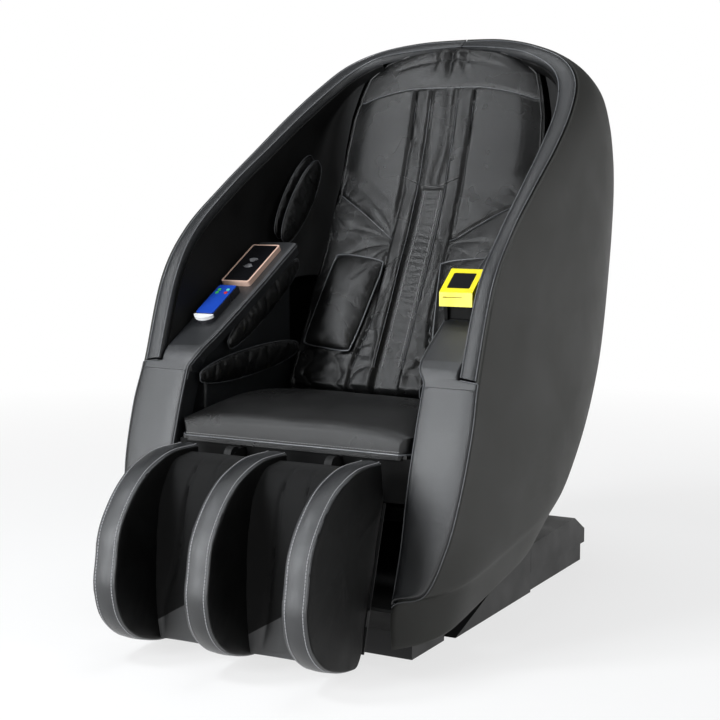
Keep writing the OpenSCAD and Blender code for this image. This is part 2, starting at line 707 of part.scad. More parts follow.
// ---------- massage mechanism ----------
carriage_s = 150;
module massage_carriage() {
    color("gray") on_back() difference() {
        union() {
            both_sides() translate([back_rail_x - 26, rail_off - 24, carriage_s - 45]) cube([52, 48, 90]);
            translate([-back_rail_x, rail_off - 16, carriage_s - 45]) cube([2 * back_rail_x, 32, 22]);
        }
        both_sides() translate([back_rail_x, rail_off, carriage_s - 60])
            cylinder(r = back_rail_d / 2 + 0.3, h = 130);
    }
    // Shaft that the two arms turn on
    color("silver") on_back() translate([0, rail_off - 10, carriage_s]) rotate([0, 90, 0])
        cylinder(d = 10, h = 2 * back_rail_x - 50, center = true);
}
massage_arm_x = 70;
roller_d = 30;
roller_out = [-34, 42];
module massage_arm(x) {
    color("dimgray") on_back() translate([0, rail_off - 10, carriage_s]) difference() {
        union() {
            translate([x, 0, 0]) rotate([0, 90, 0]) cylinder(r = 10, h = 12, center = true);
            translate([x, 0, roller_out[1]]) rotate([0, 90, 0]) cylinder(r = 9, h = 12, center = true);
            translate([x - 6, -9, 0]) cube([12, 18, roller_out[1]]);
        }
        translate([x, 0, 0]) rotate([0, 90, 0]) cylinder(r = 5 + play, h = 14, center = true);
    }
    color("silver") on_back() translate([x, rail_off - 10, carriage_s + roller_out[1]]) rotate([0, 90, 0])
        cylinder(d = 8, h = 58, center = true);
}
module massage_arm_left() { massage_arm(massage_arm_x); }
module massage_arm_right() { massage_arm(-massage_arm_x); }
module roller(x) {
    color("tan") on_back() translate([x, rail_off - 10, carriage_s + roller_out[1]]) difference() {
        for (side = [-1, 1]) translate([side * 18, 0, 0]) rotate([0, 90, 0])
            cylinder(d = roller_d, h = 20, center = true);
        rotate([0, 90, 0]) cylinder(d = 8 + 2 * play, h = 60, center = true);
    }
}
module roller_left() { roller(massage_arm_x); }
module roller_right() { roller(-massage_arm_x); }

// ---------- controls on the arms ----------
// Places its children on an armrest: +X across, +Y up the slope, +Z off the armrest
pad_x = arm_inner + 29;
module on_arm(side, y) {
    translate([side * pad_x, y, arm_top(y)]) rotate([arm_slope, 0, 0]) children();
}
charger_y = 20;
module rounded_slab(w, l, t, r) {
    linear_extrude(t) union() {
        square([w - 2 * r, l], center = true);
        square([w, l - 2 * r], center = true);
        for (i = [-1, 1]) for (j = [-1, 1]) translate([i * (w / 2 - r), j * (l / 2 - r)]) circle(r);
    }
}
charger_glass_t = 2;
charger_rim = 4;
module charger_frame() {
    color("rosybrown") on_arm(-1, charger_y) difference() {
        rounded_slab(charger_w, charger_l, charger_t, 6);
        translate([0, 0, charger_t - charger_glass_t])
            rounded_slab(charger_w - 2 * charger_rim, charger_l - 2 * charger_rim, charger_t, 4);
    }
}
module charger_glass() {
    color("black") on_arm(-1, charger_y) translate([0, 0, charger_t - charger_glass_t])
        rounded_slab(charger_w - 2 * charger_rim - 0.2, charger_l - 2 * charger_rim - 0.2, charger_glass_t - 0.3, 3.9);
}
remote_y = -114;
remote_face_t = 2;
key_gap = 0.25;
KEYS = [[-11, 34], [11, 34], [-11, 23], [11, 23]];
cap_t = 7;
module remote_body() {
    color("black") on_arm(-1, remote_y) difference() {
        union() {
            translate([0, 0, remote_t / 2]) linear_extrude(remote_t, center = true)
                square([remote_w, remote_l], center = true);
            remote_end(remote_t - cap_t);
        }
        for (k = KEYS) translate([k[0], k[1], remote_t - 6]) cylinder(r = key_d / 2 + key_gap, h = 10);
    }
}
module remote_face() {
    color("royalblue") on_arm(-1, remote_y) translate([0, 0, remote_t]) difference() {
        rounded_slab(remote_w - 4, remote_l - 4, remote_face_t, 5);
        for (k = KEYS) translate([k[0], k[1], -1]) cylinder(r = key_d / 2 + key_gap, h = 10);
    }
}
// Half round end of the remote, flattened towards its tip
module remote_end(h) {
    intersection() {
        translate([0, remote_end_r - remote_l / 2 - 16, 0]) cylinder(r = remote_end_r, h = h, $fn = 96);
        translate([-remote_w / 2, -remote_l / 2 - remote_w, -1]) cube([remote_w, remote_w, h + 2]);
    }
}
remote_end_r = 30;
module remote_end_cap() {
    color("white") on_arm(-1, remote_y) translate([0, 0, remote_t - cap_t]) remote_end(cap_t);
}
key_travel = 1;
module remote_key(i) {
    color(["green", "turquoise", "green", "red"][i]) on_arm(-1, remote_y)
        translate([KEYS[i][0], KEYS[i][1], remote_t - 6 + key_travel + 0.2])
            cylinder(d = key_d, h = 6 + remote_face_t + 1.2 - key_travel);
}
module remote_key_1() { remote_key(0); }
module remote_key_2() { remote_key(1); }
module remote_key_3() { remote_key(2); }
module remote_key_4() { remote_key(3); }

terminal_front = -138;
terminal_x = arm_inner + 6;
// Height of the terminal's front foot over the armrest below it
terminal_foot = arm_top(terminal_front) + 37;
TERMINAL = [[0, 0], [0, 28], [56, 71], [74, 69], [74, 15], [50, 0]];
screen_slope = atan2(43, 56);
module terminal_body() {
    color("gold") difference() {
        translate([terminal_x - terminal_w / 2, terminal_front, 0]) rotate([90, 0, 90])
            linear_extrude(terminal_w) translate([0, terminal_foot]) polygon(TERMINAL);
        on_screen() translate([0, 0, -2]) rounded_slab(terminal_w - 22, 46, 10, 3);
        // Card slot across the front
        translate([terminal_x - terminal_w / 2 + 8, terminal_front - 1, terminal_foot + 17]) cube([terminal_w - 30, 9, 2]);
    }
}
// Places its children on the terminal's sloped face
module on_screen() {
    translate([terminal_x, terminal_front + 28, terminal_foot + 49.5]) rotate([screen_slope, 0, 0]) children();
}
module terminal_screen() {
    color("black") on_screen() translate([0, 0, -2]) rounded_slab(terminal_w - 22.3, 45.7, 1.5, 2.8);
}
bracket_w = 58;
module terminal_bracket() {
    function foot(d) = arm_top(terminal_front + d);
    color("dimgray") {
        // Block under the terminal between two cheeks, and a foot plate that follows the armrest
        translate([terminal_x - bracket_w / 2 + 6, terminal_front, 0]) rotate([90, 0, 90]) linear_extrude(bracket_w - 12)
            polygon([[17, foot(17)], [50, foot(50)], [50, terminal_foot], [17, terminal_foot]]);
        for (x = [-bracket_w / 2, bracket_w / 2 - 7])
            translate([terminal_x + x, terminal_front, 0]) rotate([90, 0, 90]) linear_extrude(7)
                polygon([[12, foot(12)], [50, foot(50)], [50, terminal_foot], [8, terminal_foot], [10, foot(12) + 6]]);
        translate([terminal_x - bracket_w / 2, terminal_front, 0]) rotate([90, 0, 90]) linear_extrude(bracket_w)
            polygon([[14, foot(14)], [60, foot(60)], [60, foot(60) + 3], [14, foot(14) + 3]]);
    }
}

// ---------- leg rest ----------
fin_steps = 34;
FIN_SMOOTH = spline(FIN, fin_steps);
module leg_fin(x) {
    // Padded fin: the outline shrinks a little towards each side face
    middle = [sum([for (p = FIN_SMOOTH) p[0]]) / len(FIN_SMOOTH), sum([for (p = FIN_SMOOTH) p[1]]) / len(FIN_SMOOTH)];
    SIDES = [[-0.5, 0.965], [-0.42, 0.99], [-0.2, 1], [0.2, 1], [0.42, 0.99], [0.5, 0.965]];
    color("dimgray") loft([for (s = SIDES)
        [for (p = FIN_SMOOTH) let (q = middle + (p - middle) * s[1]) [x + s[0] * fin_w, q[0], q[1]]]]);
}
module leg_fin_left() { leg_fin(fin_pitch); }
module leg_fin_middle() { leg_fin(0); }
module leg_fin_right() { leg_fin(-fin_pitch); }
calf_cols = 8;
calf_rows = 16;
module calf_channel(x) {
    half = (fin_pitch - fin_w) / 2 - 0.4;
    CALF_F = spline(CALF, calf_rows);
    CALF_B = spline(CALF_BACK, calf_rows);
    front = [for (r = [0:calf_rows]) [for (c = [0:calf_cols])
        let (v = -1 + 2 * c / calf_cols, dip = calf_hollow * (1 - v * v) * sin(180 * (r + 1) / (calf_rows + 2)))
        [x + half * v, CALF_F[r][0] + dip, CALF_F[r][1]]]];
    rear = [for (r = [0:calf_rows]) [for (c = [0:calf_cols])
        [x + half * (-1 + 2 * c / calf_cols), CALF_B[r][0], CALF_B[r][1]]]];
    color("black") slab(rear, front);
}
module calf_channel_left() { calf_channel(fin_pitch / 2); }
module calf_channel_right() { calf_channel(-fin_pitch / 2); }
// Places its children on the straight back of the fins: +Z up it, +Y behind it
leg_back_lean = 17.73;
module on_leg_back() {
    translate([0, -350.5, 318]) rotate([-leg_back_lean, 0, 0]) children();
}
strap_t = 8;
strap_w = 30;
lug_gap = 0.3;
ear_x = 110;
leg_lug_x = ear_x + plate_t + lug_gap;
leg_half = fin_pitch + fin_w / 2 - 2;
module leg_frame() {
    color("silver") {
        on_leg_back() {
            for (s = [-45, -245]) translate([-leg_half, small_gap, s]) cube([2 * leg_half, strap_t, strap_w]);
            both_sides() translate([leg_lug_x - strap_w / 2, small_gap, -245]) cube([strap_w, strap_t, 220]);
        }
        both_sides() {
            translate([leg_lug_x - plate_t / 2, 0, 0]) rotate([90, 0, 90]) linear_extrude(plate_t)
                polygon([[leg_pivot[0] - eye_r * 0.96, leg_pivot[1]], [leg_pivot[0] + eye_r * 0.96, leg_pivot[1]],
                         [-346, 312], [-357, 280], [-372, 280]]);
            translate([leg_lug_x, leg_pivot[0], leg_pivot[1]]) rotate([0, 90, 0])
                cylinder(r = eye_r, h = plate_t, center = true);
            rod_x(leg_pin_d, 2 * plate_t + 4, leg_pivot[0], leg_pivot[1], ear_x + plate_t / 2);
        }
    }
}
leg_cover_t = 3;
module leg_rear_cover() {
    color("black") on_leg_back()
        translate([-leg_half, 2 * small_gap + strap_t, -296]) cube([2 * leg_half, leg_cover_t, 282]);
}

// ---------- base ----------
plinth_h = 50;
plinth_front = -330;
base_rail_x = 178;
base_tube = 30;
base_rail_h = 25;
frame_front = plinth_front + cover_wall + small_gap;
frame_rear = 522;
foot_y = 440;
module base_frame() {
    ear = lug_x - plate_t - lug_gap;
    outer_ear = lug_x + plate_t + lug_gap;
    color("dimgray") {
        both_sides() tube(base_tube, frame_rear - frame_front, base_rail_h, frame_front, foot_h, base_rail_x);
        for (y = [frame_front, strut_foot[0] - 15, tilt_pivot[0] - 15, frame_rear - base_tube])
            tube(2 * base_rail_x - base_tube, base_tube, base_rail_h, y, foot_h);
        // Outriggers that carry the covers
        for (y = [40, 300]) both_sides() {
            end = half_base - cover_wall - small_gap - (y > CAP[0][0] ? cap_lip : 0);
            bar(end - base_rail_x, base_tube, base_rail_h - 5, y, foot_h, (end + base_rail_x) / 2);
        }
        // Ears and pin of the capsule's tilt pivot
        both_sides() {
            for (x = [ear, outer_ear]) pivot_plate(x, tilt_pivot, tilt_pivot[0], 60, foot_h + base_rail_h - 1, 0);
            rod_x(tilt_pin_d, outer_ear - ear, tilt_pivot[0], tilt_pivot[1], lug_x);
            // Foot plates under the rails
            bar(60, 60, 3, -305, foot_h - 3, base_rail_x);
            bar(60, 60, 3, foot_y - 30, foot_h - 3, base_rail_x);
            // Axle stub of a transport wheel
            rod_x(wheel_bore_d, wheel_w + 14, wheel_y, wheel_z, base_rail_x + base_tube / 2 + wheel_w / 2 + 4);
        }
        // Ears and pin of the strut's foot
        both_sides() pivot_plate(strut_ear_x, strut_foot, strut_foot[0], 34, foot_h + base_rail_h - 1, 0);
        rod_x(yoke_pin_d, 2 * strut_ear_x, strut_foot[0], strut_foot[1]);
    }
}
strut_ear_x = plate_t + lug_gap;
wheel_bore_d = 12;
wheel_y = 500;
wheel_lift = 3;
wheel_z = wheel_d / 2 + wheel_lift;
wheel_x = base_rail_x + base_tube / 2 + wheel_w / 2 + 4;
module wheel(x) {
    color("dimgray") translate([x, wheel_y, wheel_z]) rotate([0, 90, 0]) difference() {
        cylinder(d = wheel_d, h = wheel_w, center = true);
        cylinder(d = wheel_bore_d + 2 * play, h = wheel_w + 2, center = true);
    }
}
module wheel_left() { wheel(wheel_x); }
module wheel_right() { wheel(-wheel_x); }
module rubber_feet() {
    color("black") both_sides() for (y = [-275, foot_y])
        translate([base_rail_x, y, 0]) cylinder(d1 = 44, d2 = 38, h = foot_h - 3 - 0.01, $fn = 40);
}
cover_w = 90;
module base_side_covers() {
    // A sloping cover beside each rail: a top sheet and an outer skirt
    color("black") both_sides() translate([half_base - cover_w, 0, 0]) rotate([90, 0, 90]) difference() {
        linear_extrude(cover_w) polygon(WEDGE);
        translate([0, -cover_wall, -1]) linear_extrude(cover_w - cover_wall + 1)
            polygon([[WEDGE[0][0] + 25, -2], WEDGE[1], [WEDGE[2][0] - 3, WEDGE[2][1]], [WEDGE[2][0] - 3, -2]]);
    }
}
module across(w) {
    translate([-w / 2, 0, 0]) rotate([90, 0, 90]) linear_extrude(w) children();
}
module base_rear_cover() {
    color("black") difference() {
        union() {
            across(base_w) polygon(CAP);
            across(base_w - 2 * cap_lip) polygon([[222, 2], [222, 46], [548, 46], [548, 2]]);
        }
        across(base_w - 2 * cover_wall) polygon([[210, 49], [210, 104], [488, 110.5], [549, 76], [549, 49]]);
        across(base_w - 2 * cap_lip - 2 * cover_wall) polygon([[210, -5], [210, 50], [544, 50], [544, -5]]);
        // Panel hole of the power inlet and its switch
        translate([inlet_x - inlet_w / 2, 530, inlet_z - inlet_h / 2]) cube([inlet_w, 40, inlet_h]);
    }
}
inlet_w = 48;
inlet_h = 28;
inlet_x = 60;
inlet_z = 26;
inlet_face = 548;
inlet_play = 0.1;
module power_inlet() {
    // Three pin inlet beside a rocker, in one moulded panel
    color("black") translate([inlet_x, inlet_face, inlet_z]) rotate([90, 0, 0]) difference() {
        union() {
            translate([0, 0, -2]) linear_extrude(2) square([inlet_w + 8, inlet_h + 6], center = true);
            linear_extrude(24) square([inlet_w - 2 * inlet_play, inlet_h - 2 * inlet_play], center = true);
        }
        translate([-9, 0, -3]) linear_extrude(17) square([24, 17], center = true);
        translate([switch_off, 0, -3]) linear_extrude(15) square([rocker_w + 1, 20], center = true);
        // Bores for the rocker's pin
        translate([switch_off, 0, 1]) rotate([0, 90, 0])
            cylinder(d = rocker_pin_d + 2 * play, h = rocker_w + 1 + 2 * rocker_pin_in, center = true);
    }
    color("silver") translate([inlet_x, inlet_face, inlet_z]) rotate([90, 0, 0])
        for (p = [[-16, 2], [-2, 2], [-9, -3]]) translate([p[0], p[1], 6]) cylinder(d = 3, h = 10, $fn = 24);
}
switch_off = 15;
rocker_w = 12;
rocker_pin_d = 3;
rocker_pin_in = 1.2;
module power_switch() {
    color("red") translate([inlet_x + switch_off, inlet_face - 1, inlet_z]) rotate([0, 90, 0]) union() {
        linear_extrude(rocker_w, center = true)
            polygon([[-9, 1], [0, 2.5], [9, 4.5], [8, -4], [0, -7], [-8, -4]]);
        cylinder(d = rocker_pin_d, h = rocker_w + 1 + 2 * rocker_pin_in - 0.2, center = true);
    }
}
module front_plinth() {
    // Cover over the front end of the frame, open below and behind
    color("black") difference() {
        bar(base_w - 26, plinth_d, plinth_h, plinth_front, 2);
        bar(base_w - 26 - 2 * cover_wall, plinth_d + 10, plinth_h - cover_wall + 5, plinth_front + cover_wall, -3);
        for (x = [-1, 1]) translate([x * 252, plinth_front - 1, 28]) rotate([-90, 0, 0]) cylinder(d = 5, h = 10);
    }
    color("silver") both_sides() translate([252, plinth_front - 2, 28]) rotate([-90, 0, 0]) union() {
        cylinder(d = 9, h = 2);
        cylinder(d = 4.8, h = 12);
    }
}

// ---------- tilt strut ----------
strut_lean = atan2(strut_foot[0] - strut_head[0], strut_head[1] - strut_foot[1]);
strut_len = norm(strut_head - strut_foot);
strut_eye_r = 15;
module on_strut() {
    translate([0, strut_foot[0], strut_foot[1]]) rotate([strut_lean, 0, 0]) children();
}
rod_d = 16;
rod_ring_r = 18;
rod_ring_play = 4;
rod_ring_hole = yoke_pin_d / 2 + rod_ring_play;
module tilt_strut_body() {
    color("dimgray") on_strut() difference() {
        union() {
            rotate([0, 90, 0]) cylinder(r = strut_eye_r, h = plate_t, center = true);
            bar(plate_t, 2 * strut_eye_r - 4, 26, -strut_eye_r + 2, 0);
            translate([0, 0, 24]) cylinder(d = 38, h = 150);
        }
        rotate([0, 90, 0]) cylinder(d = yoke_pin_d + 2 * play, h = plate_t + 2, center = true);
        translate([0, 0, 40]) cylinder(d = rod_d + 2 * play, h = 150);
    }
}
module tilt_strut_rod() {
    color("silver") on_strut() difference() {
        union() {
            translate([0, 0, 50]) cylinder(d = rod_d, h = strut_len - 50 - rod_ring_hole - 4);
            translate([0, 0, strut_len]) rotate([0, 90, 0]) cylinder(r = rod_ring_r, h = plate_t, center = true);
        }
        translate([0, 0, strut_len]) rotate([0, 90, 0]) cylinder(r = rod_ring_hole, h = 30, center = true);
    }
}

base_frame();
base_side_covers();
base_rear_cover();
front_plinth();
rubber_feet();
wheel_left();
wheel_right();
power_inlet();
power_switch();
side_shell_left();
side_shell_right();
inner_liner_left();
inner_liner_right();
rim_band_left();
rim_band_right();
arm_left();
arm_right();
seat_frame();
seat_board();
seat_apron();
lower_frame();
back_frame();
bottom_pan();
rear_seam_strip();
control_box();
seat_cushion();
back_cover();
head_pad();
hip_pad_left();
hip_pad_right();
shoulder_airbag_left();
shoulder_airbag_right();
arm_airbag_left();
arm_airbag_right();
charger_frame();
charger_glass();
remote_body();
remote_face();
remote_end_cap();
remote_key_1();
remote_key_2();
remote_key_3();
remote_key_4();
terminal_bracket();
terminal_body();
terminal_screen();
massage_carriage();
massage_arm_left();
massage_arm_right();
roller_left();
roller_right();
leg_frame();
leg_fin_left();
leg_fin_middle();
leg_fin_right();
calf_channel_left();
calf_channel_right();
leg_rear_cover();
tilt_strut_body();
tilt_strut_rod();
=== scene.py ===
# %% [markdown]
# # A capsule massage chair, dressed in leather
# The chair's solids come from its CAD source, already in place and in metres.
# This lesson keeps the hard parts, gives them a finish, and makes a fuller
# piece for everything that is upholstered: two egg shaped side shells, the
# padded rim, the lining, the armrests, the seat, the back, the small pads and
# the leg rest.

# %% The solids and the libraries
import math

import bpy
import numpy as np
from mathutils import Euler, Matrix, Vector
from mathutils.kdtree import KDTree


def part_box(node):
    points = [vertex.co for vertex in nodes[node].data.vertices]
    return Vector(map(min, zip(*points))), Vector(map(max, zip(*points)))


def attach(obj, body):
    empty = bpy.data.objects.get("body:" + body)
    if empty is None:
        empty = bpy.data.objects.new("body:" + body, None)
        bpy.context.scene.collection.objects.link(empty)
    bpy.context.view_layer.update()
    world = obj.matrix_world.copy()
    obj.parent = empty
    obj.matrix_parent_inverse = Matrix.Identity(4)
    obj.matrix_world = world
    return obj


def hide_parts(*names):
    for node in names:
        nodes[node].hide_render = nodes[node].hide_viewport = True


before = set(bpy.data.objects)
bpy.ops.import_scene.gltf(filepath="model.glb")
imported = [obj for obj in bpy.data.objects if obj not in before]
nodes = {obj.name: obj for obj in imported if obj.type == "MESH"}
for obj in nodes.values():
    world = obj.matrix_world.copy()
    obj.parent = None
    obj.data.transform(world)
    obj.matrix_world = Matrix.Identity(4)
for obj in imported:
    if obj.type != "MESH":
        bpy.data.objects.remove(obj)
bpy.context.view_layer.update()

scene = bpy.context.scene
MM = 0.001

# %% [markdown]
# ## The camera
# A long lens stands a little to the chair's left and just above the seat. It is
# made first, because every later choice is looked at through it.

# %% The camera
camera = bpy.data.objects.new("camera", bpy.data.cameras.new("camera"))
scene.collection.objects.link(camera)
camera.location = (1.5238, -2.7992, 0.8977)
camera.rotation_euler = Euler([math.radians(a) for a in (83.286, 0, 28.788)])
camera.data.lens = 75.49
camera.data.sensor_width = 36
scene.camera = camera
scene.view_settings.view_transform = "Standard"
print("lens", camera.data.lens)

# %% [markdown]
# ## Curves through a few measured stations
# A shell maker works from templates: a few sections, and a batten bent through
# them. Catmull-Rom is that batten. It passes through every station, so the
# leather follows the solid below it, only with more steps.

# %% A batten through stations
def batten(stations, t):
    """Smooth value at places t of a table with one row for each station."""
    rows = np.asarray(stations, float)
    t = np.asarray(t, float)
    last = len(rows) - 1
    i = np.clip(np.floor(t).astype(int), 0, last - 1)
    f = (t - i)[..., None]
    a, b, c, d = (rows[np.clip(i + k, 0, last)] for k in (-1, 0, 1, 2))
    return 0.5 * (2 * b + (c - a) * f + (2 * a - 5 * b + 4 * c - d) * f ** 2
                  + (3 * b - a - 3 * c + d) * f ** 3)


def unit(v):
    return v / np.maximum(np.linalg.norm(v, axis=-1, keepdims=True), 1e-9)


def slopes(points):
    """Normal of a grid of points, from its rows and columns."""
    return unit(np.cross(np.gradient(points, axis=1), np.gradient(points, axis=0)))


def grid(rows, cols):
    """Two arrays with the row value and the column value at every crossing."""
    return np.meshgrid(rows, cols, indexing="ij")


def crowded(n):
    """n places from -1 to 1 that crowd towards both ends."""
    return np.sin(np.pi / 2 * np.linspace(-1, 1, n))


def rounded(gap, width):
    """A quarter round: 1 at the edge, and 0 from width on."""
    return 1 - np.sqrt(1 - (1 - np.clip(gap / width, 0, 1)) ** 2)

# %% [markdown]
# ## Folds
# Leather over foam is never flat: it has slow swells, and narrow creases where
# there is too much of it. Both come from one noise. A crease runs where the
# noise crosses zero, so `1 - |noise|` raised to a power gives thin lines.

# %% Noise, swells and creases
TURN = np.array([[0.80, 0.36, -0.48], [-0.60, 0.48, -0.64], [0.0, 0.80, 0.60]])


def hashed(i, seed):
    """A number from -1 to 1 for each lattice point."""
    with np.errstate(over="ignore"):
        n = i[..., 0] * 374761393 + i[..., 1] * 668265263 + i[..., 2] * 1274126177 + seed * 144665
        n = (n ^ (n >> 13)) * 1103515245
        n = n ^ (n >> 16)
    return (n & 0xFFFF) / 32767.5 - 1


def noise(p, seed=0):
    """Smooth gradient noise from about -1 to 1 at points p, on a turned lattice."""
    p = np.asarray(p, float) @ TURN
    i = np.floor(p).astype(np.int64)
    f = p - i
    fade = f ** 3 * (f * (f * 6 - 15) + 10)
    total = 0
    for corner in np.ndindex(2, 2, 2):
        corner = np.array(corner)
        pull = np.stack([hashed(i + corner, seed + 31 * k) for k in (1, 2, 3)], -1)
        w = np.where(corner == 1, fade, 1 - fade).prod(-1)
        total = total + w * (pull * (f - corner)).sum(-1)
    return 1.9 * total


def swell(p, size, seed=0):
    return noise(p / size, seed) + 0.5 * noise(p / size * 2.1 + 7, seed + 1)


def crease(p, size, seed=0, thin=5):
    """1 along thin wandering lines and 0 between them."""
    bent = p / size + 0.45 * np.stack([noise(p / size * 0.9 + k * 11, seed + k) for k in range(3)], -1)
    return (1 - np.abs(noise(bent, seed + 5))) ** thin


def ease(x, a, b):
    """0 before a, 1 after b, and smooth between."""
    f = np.clip((x - a) / (b - a), 0, 1)
    return f * f * (3 - 2 * f)


def ridge(x, width):
    """1 where x is 0, falling away over a width."""
    return np.exp(-(x / width) ** 2)


def line_gap(x, y, points):
    """Distance of each x, y to a polyline."""
    best = np.full(np.shape(x), 1e9)
    for (ax, ay), (bx, by) in zip(points[:-1], points[1:]):
        dx, dy = bx - ax, by - ay
        f = np.clip(((x - ax) * dx + (y - ay) * dy) / (dx * dx + dy * dy), 0, 1)
        best = np.minimum(best, np.hypot(x - ax - f * dx, y - ay - f * dy))
    return best


print("noise at three points:", noise(np.eye(3) * 0.4).round(3))

# %% [markdown]
# ## From grids to pieces
# Each upholstered piece is one or two grids of points in millimetres. `sheet_of`
# joins a front grid and a rear grid into a closed skin, and `tube_of` joins
# rings. The finished object stays at the origin, with its place in its mesh.

# %% Mesh makers
def make_piece(name, points, faces, sharp=45):
    mesh = bpy.data.meshes.new(name)
    mesh.from_pydata((np.asarray(points) * MM).tolist(), [], faces)
    mesh.validate()
    mesh.update()
    mesh.shade_smooth()
    mesh.set_sharp_from_angle(angle=math.radians(sharp))
    piece = bpy.data.objects.new(name, mesh)
    scene.collection.objects.link(piece)
    return piece


def pick(pieces):
    """Selects these pieces alone, with the first one active."""
    for o in bpy.context.selected_objects:
        o.select_set(False)
    for o in pieces:
        o.select_set(True)
    bpy.context.view_layer.objects.active = pieces[0]


def face_out(piece):
    """Turns every face outwards and keeps the sharp edges."""
    pick([piece])
    bpy.ops.object.mode_set(mode="EDIT")
    bpy.ops.mesh.select_all(action="SELECT")
    bpy.ops.mesh.normals_make_consistent(inside=False)
    bpy.ops.object.mode_set(mode="OBJECT")
    return piece


def sheet_of(name, front, rear, sharp=60):
    """Closed skin between two grids; front is seen with columns to the right and rows up."""
    rows, cols = front.shape[:2]
    ids = np.arange(rows * cols).reshape(rows, cols)
    back = ids + rows * cols
    faces = []
    for quad in ((ids[:-1, :-1], ids[:-1, 1:], ids[1:, 1:], ids[1:, :-1]),
                 (back[:-1, :-1], back[1:, :-1], back[1:, 1:], back[:-1, 1:]),
                 (ids[0, :-1], back[0, :-1], back[0, 1:], ids[0, 1:]),
                 (ids[-1, :-1], ids[-1, 1:], back[-1, 1:], back[-1, :-1]),
                 (ids[:-1, 0], ids[1:, 0], back[1:, 0], back[:-1, 0]),
                 (ids[:-1, -1], back[:-1, -1], back[1:, -1], ids[1:, -1])):
        faces.extend(np.stack([corner.ravel() for corner in quad], 1).tolist())
    points = np.concatenate([front.reshape(-1, 3), rear.reshape(-1, 3)])
    return face_out(make_piece(name, points, faces, sharp))


def tube_of(name, rings, sharp=80):
    """Closed skin through rings of equal length, with a middle point in each end."""
    rows, n = rings.shape[:2]
    ids = np.arange(rows * n).reshape(rows, n)
    nxt = np.roll(ids, -1, 1)
    faces = np.stack([ids[:-1].ravel(), nxt[:-1].ravel(), nxt[1:].ravel(), ids[1:].ravel()], 1).tolist()
    low, high = rows * n, rows * n + 1
    faces += [[low, int(b), int(a)] for a, b in zip(ids[0], nxt[0])]
    faces += [[high, int(a), int(b)] for a, b in zip(ids[-1], nxt[-1])]
    points = np.concatenate([rings.reshape(-1, 3), [rings[0].mean(0)], [rings[-1].mean(0)]])
    return face_out(make_piece(name, points, faces, sharp))


def join(name, parts):
    """One piece out of several that the real maker sews together."""
    pick(parts)
    bpy.ops.object.join()
    parts[0].name = name
    return parts[0]


def finish_with(piece, tool, **settings):
    """Adds a modifier and applies it at once."""
    m = piece.modifiers.new(tool.lower(), tool)
    for k, v in settings.items():
        setattr(m, k, v)
    graph = bpy.context.evaluated_depsgraph_get()
    made = bpy.data.meshes.new_from_object(piece.evaluated_get(graph))
    piece.modifiers.remove(m)
    piece.data = made
    return piece

# %% [markdown]
# ## The two sides
# The chair is the same left and right, so most pieces are made once and copied
# across the middle. `dress` gives a piece its finish in its material slot and the
# body that carries it, and hides the solid that it stands for.

# %% Left, right, and what a piece stands for
def mirrored(points):
    return points * np.array([-1, 1, 1])


def on_both(paths):
    return paths + [mirrored(p) for p in paths]


def read(items, what):
    """One vector for each vertex or face of a mesh."""
    flat = np.zeros(len(items) * 3)
    items.foreach_get(what, flat)
    return flat.reshape(-1, 3)


def twin(piece, name):
    """The same piece for the other side of the chair."""
    mesh = piece.data.copy()
    other = bpy.data.objects.new(name, mesh)
    scene.collection.objects.link(other)
    mesh.vertices.foreach_set("co", mirrored(read(mesh.vertices, "co")).ravel())
    mesh.flip_normals()
    return other


def paint(piece, *finishes):
    piece.data.materials.clear()
    for finish in finishes:
        piece.data.materials.append(finish)


def two_tone(piece, first, second, chosen):
    """Two finishes: the second on the faces whose middles, in millimetres, are chosen."""
    paint(piece, first, second)
    picked = chosen(read(piece.data.polygons, "center") / MM)
    piece.data.polygons.foreach_set("material_index", picked.astype(np.int32))


def dress(piece, finish, stands_for, body="capsule"):
    """Gives a made piece its finish and its body, and hides the solid it stands for."""
    if finish is not None:
        paint(piece, finish)
    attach(piece, body)
    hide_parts(stands_for)
    print(piece.name, "stands for", stands_for, "with", len(piece.data.polygons), "faces")


def dress_pair(left, finish, stands_for):
    """Dresses a left piece and its twin on the right."""
    right = twin(left, left.name.replace("left", "right"))
    for piece, side in ((left, "left"), (right, "right")):
        dress(piece, finish, f"{stands_for}_{side}")

# %% [markdown]
# ## Blowing up a pad
# A pad that is sewn round its rim and filled takes its shape from pressure. Cloth
# simulation does the same: the rim is held, pressure pushes the skin out, and a
# cap keeps every point near its start, so that the pad stays in its place.

# %% Pressure in a sewn pad
PRESSURE, STEPS = 4, 16
HOLD = 1.3  # how far from the rim line a point is still held, in voxels


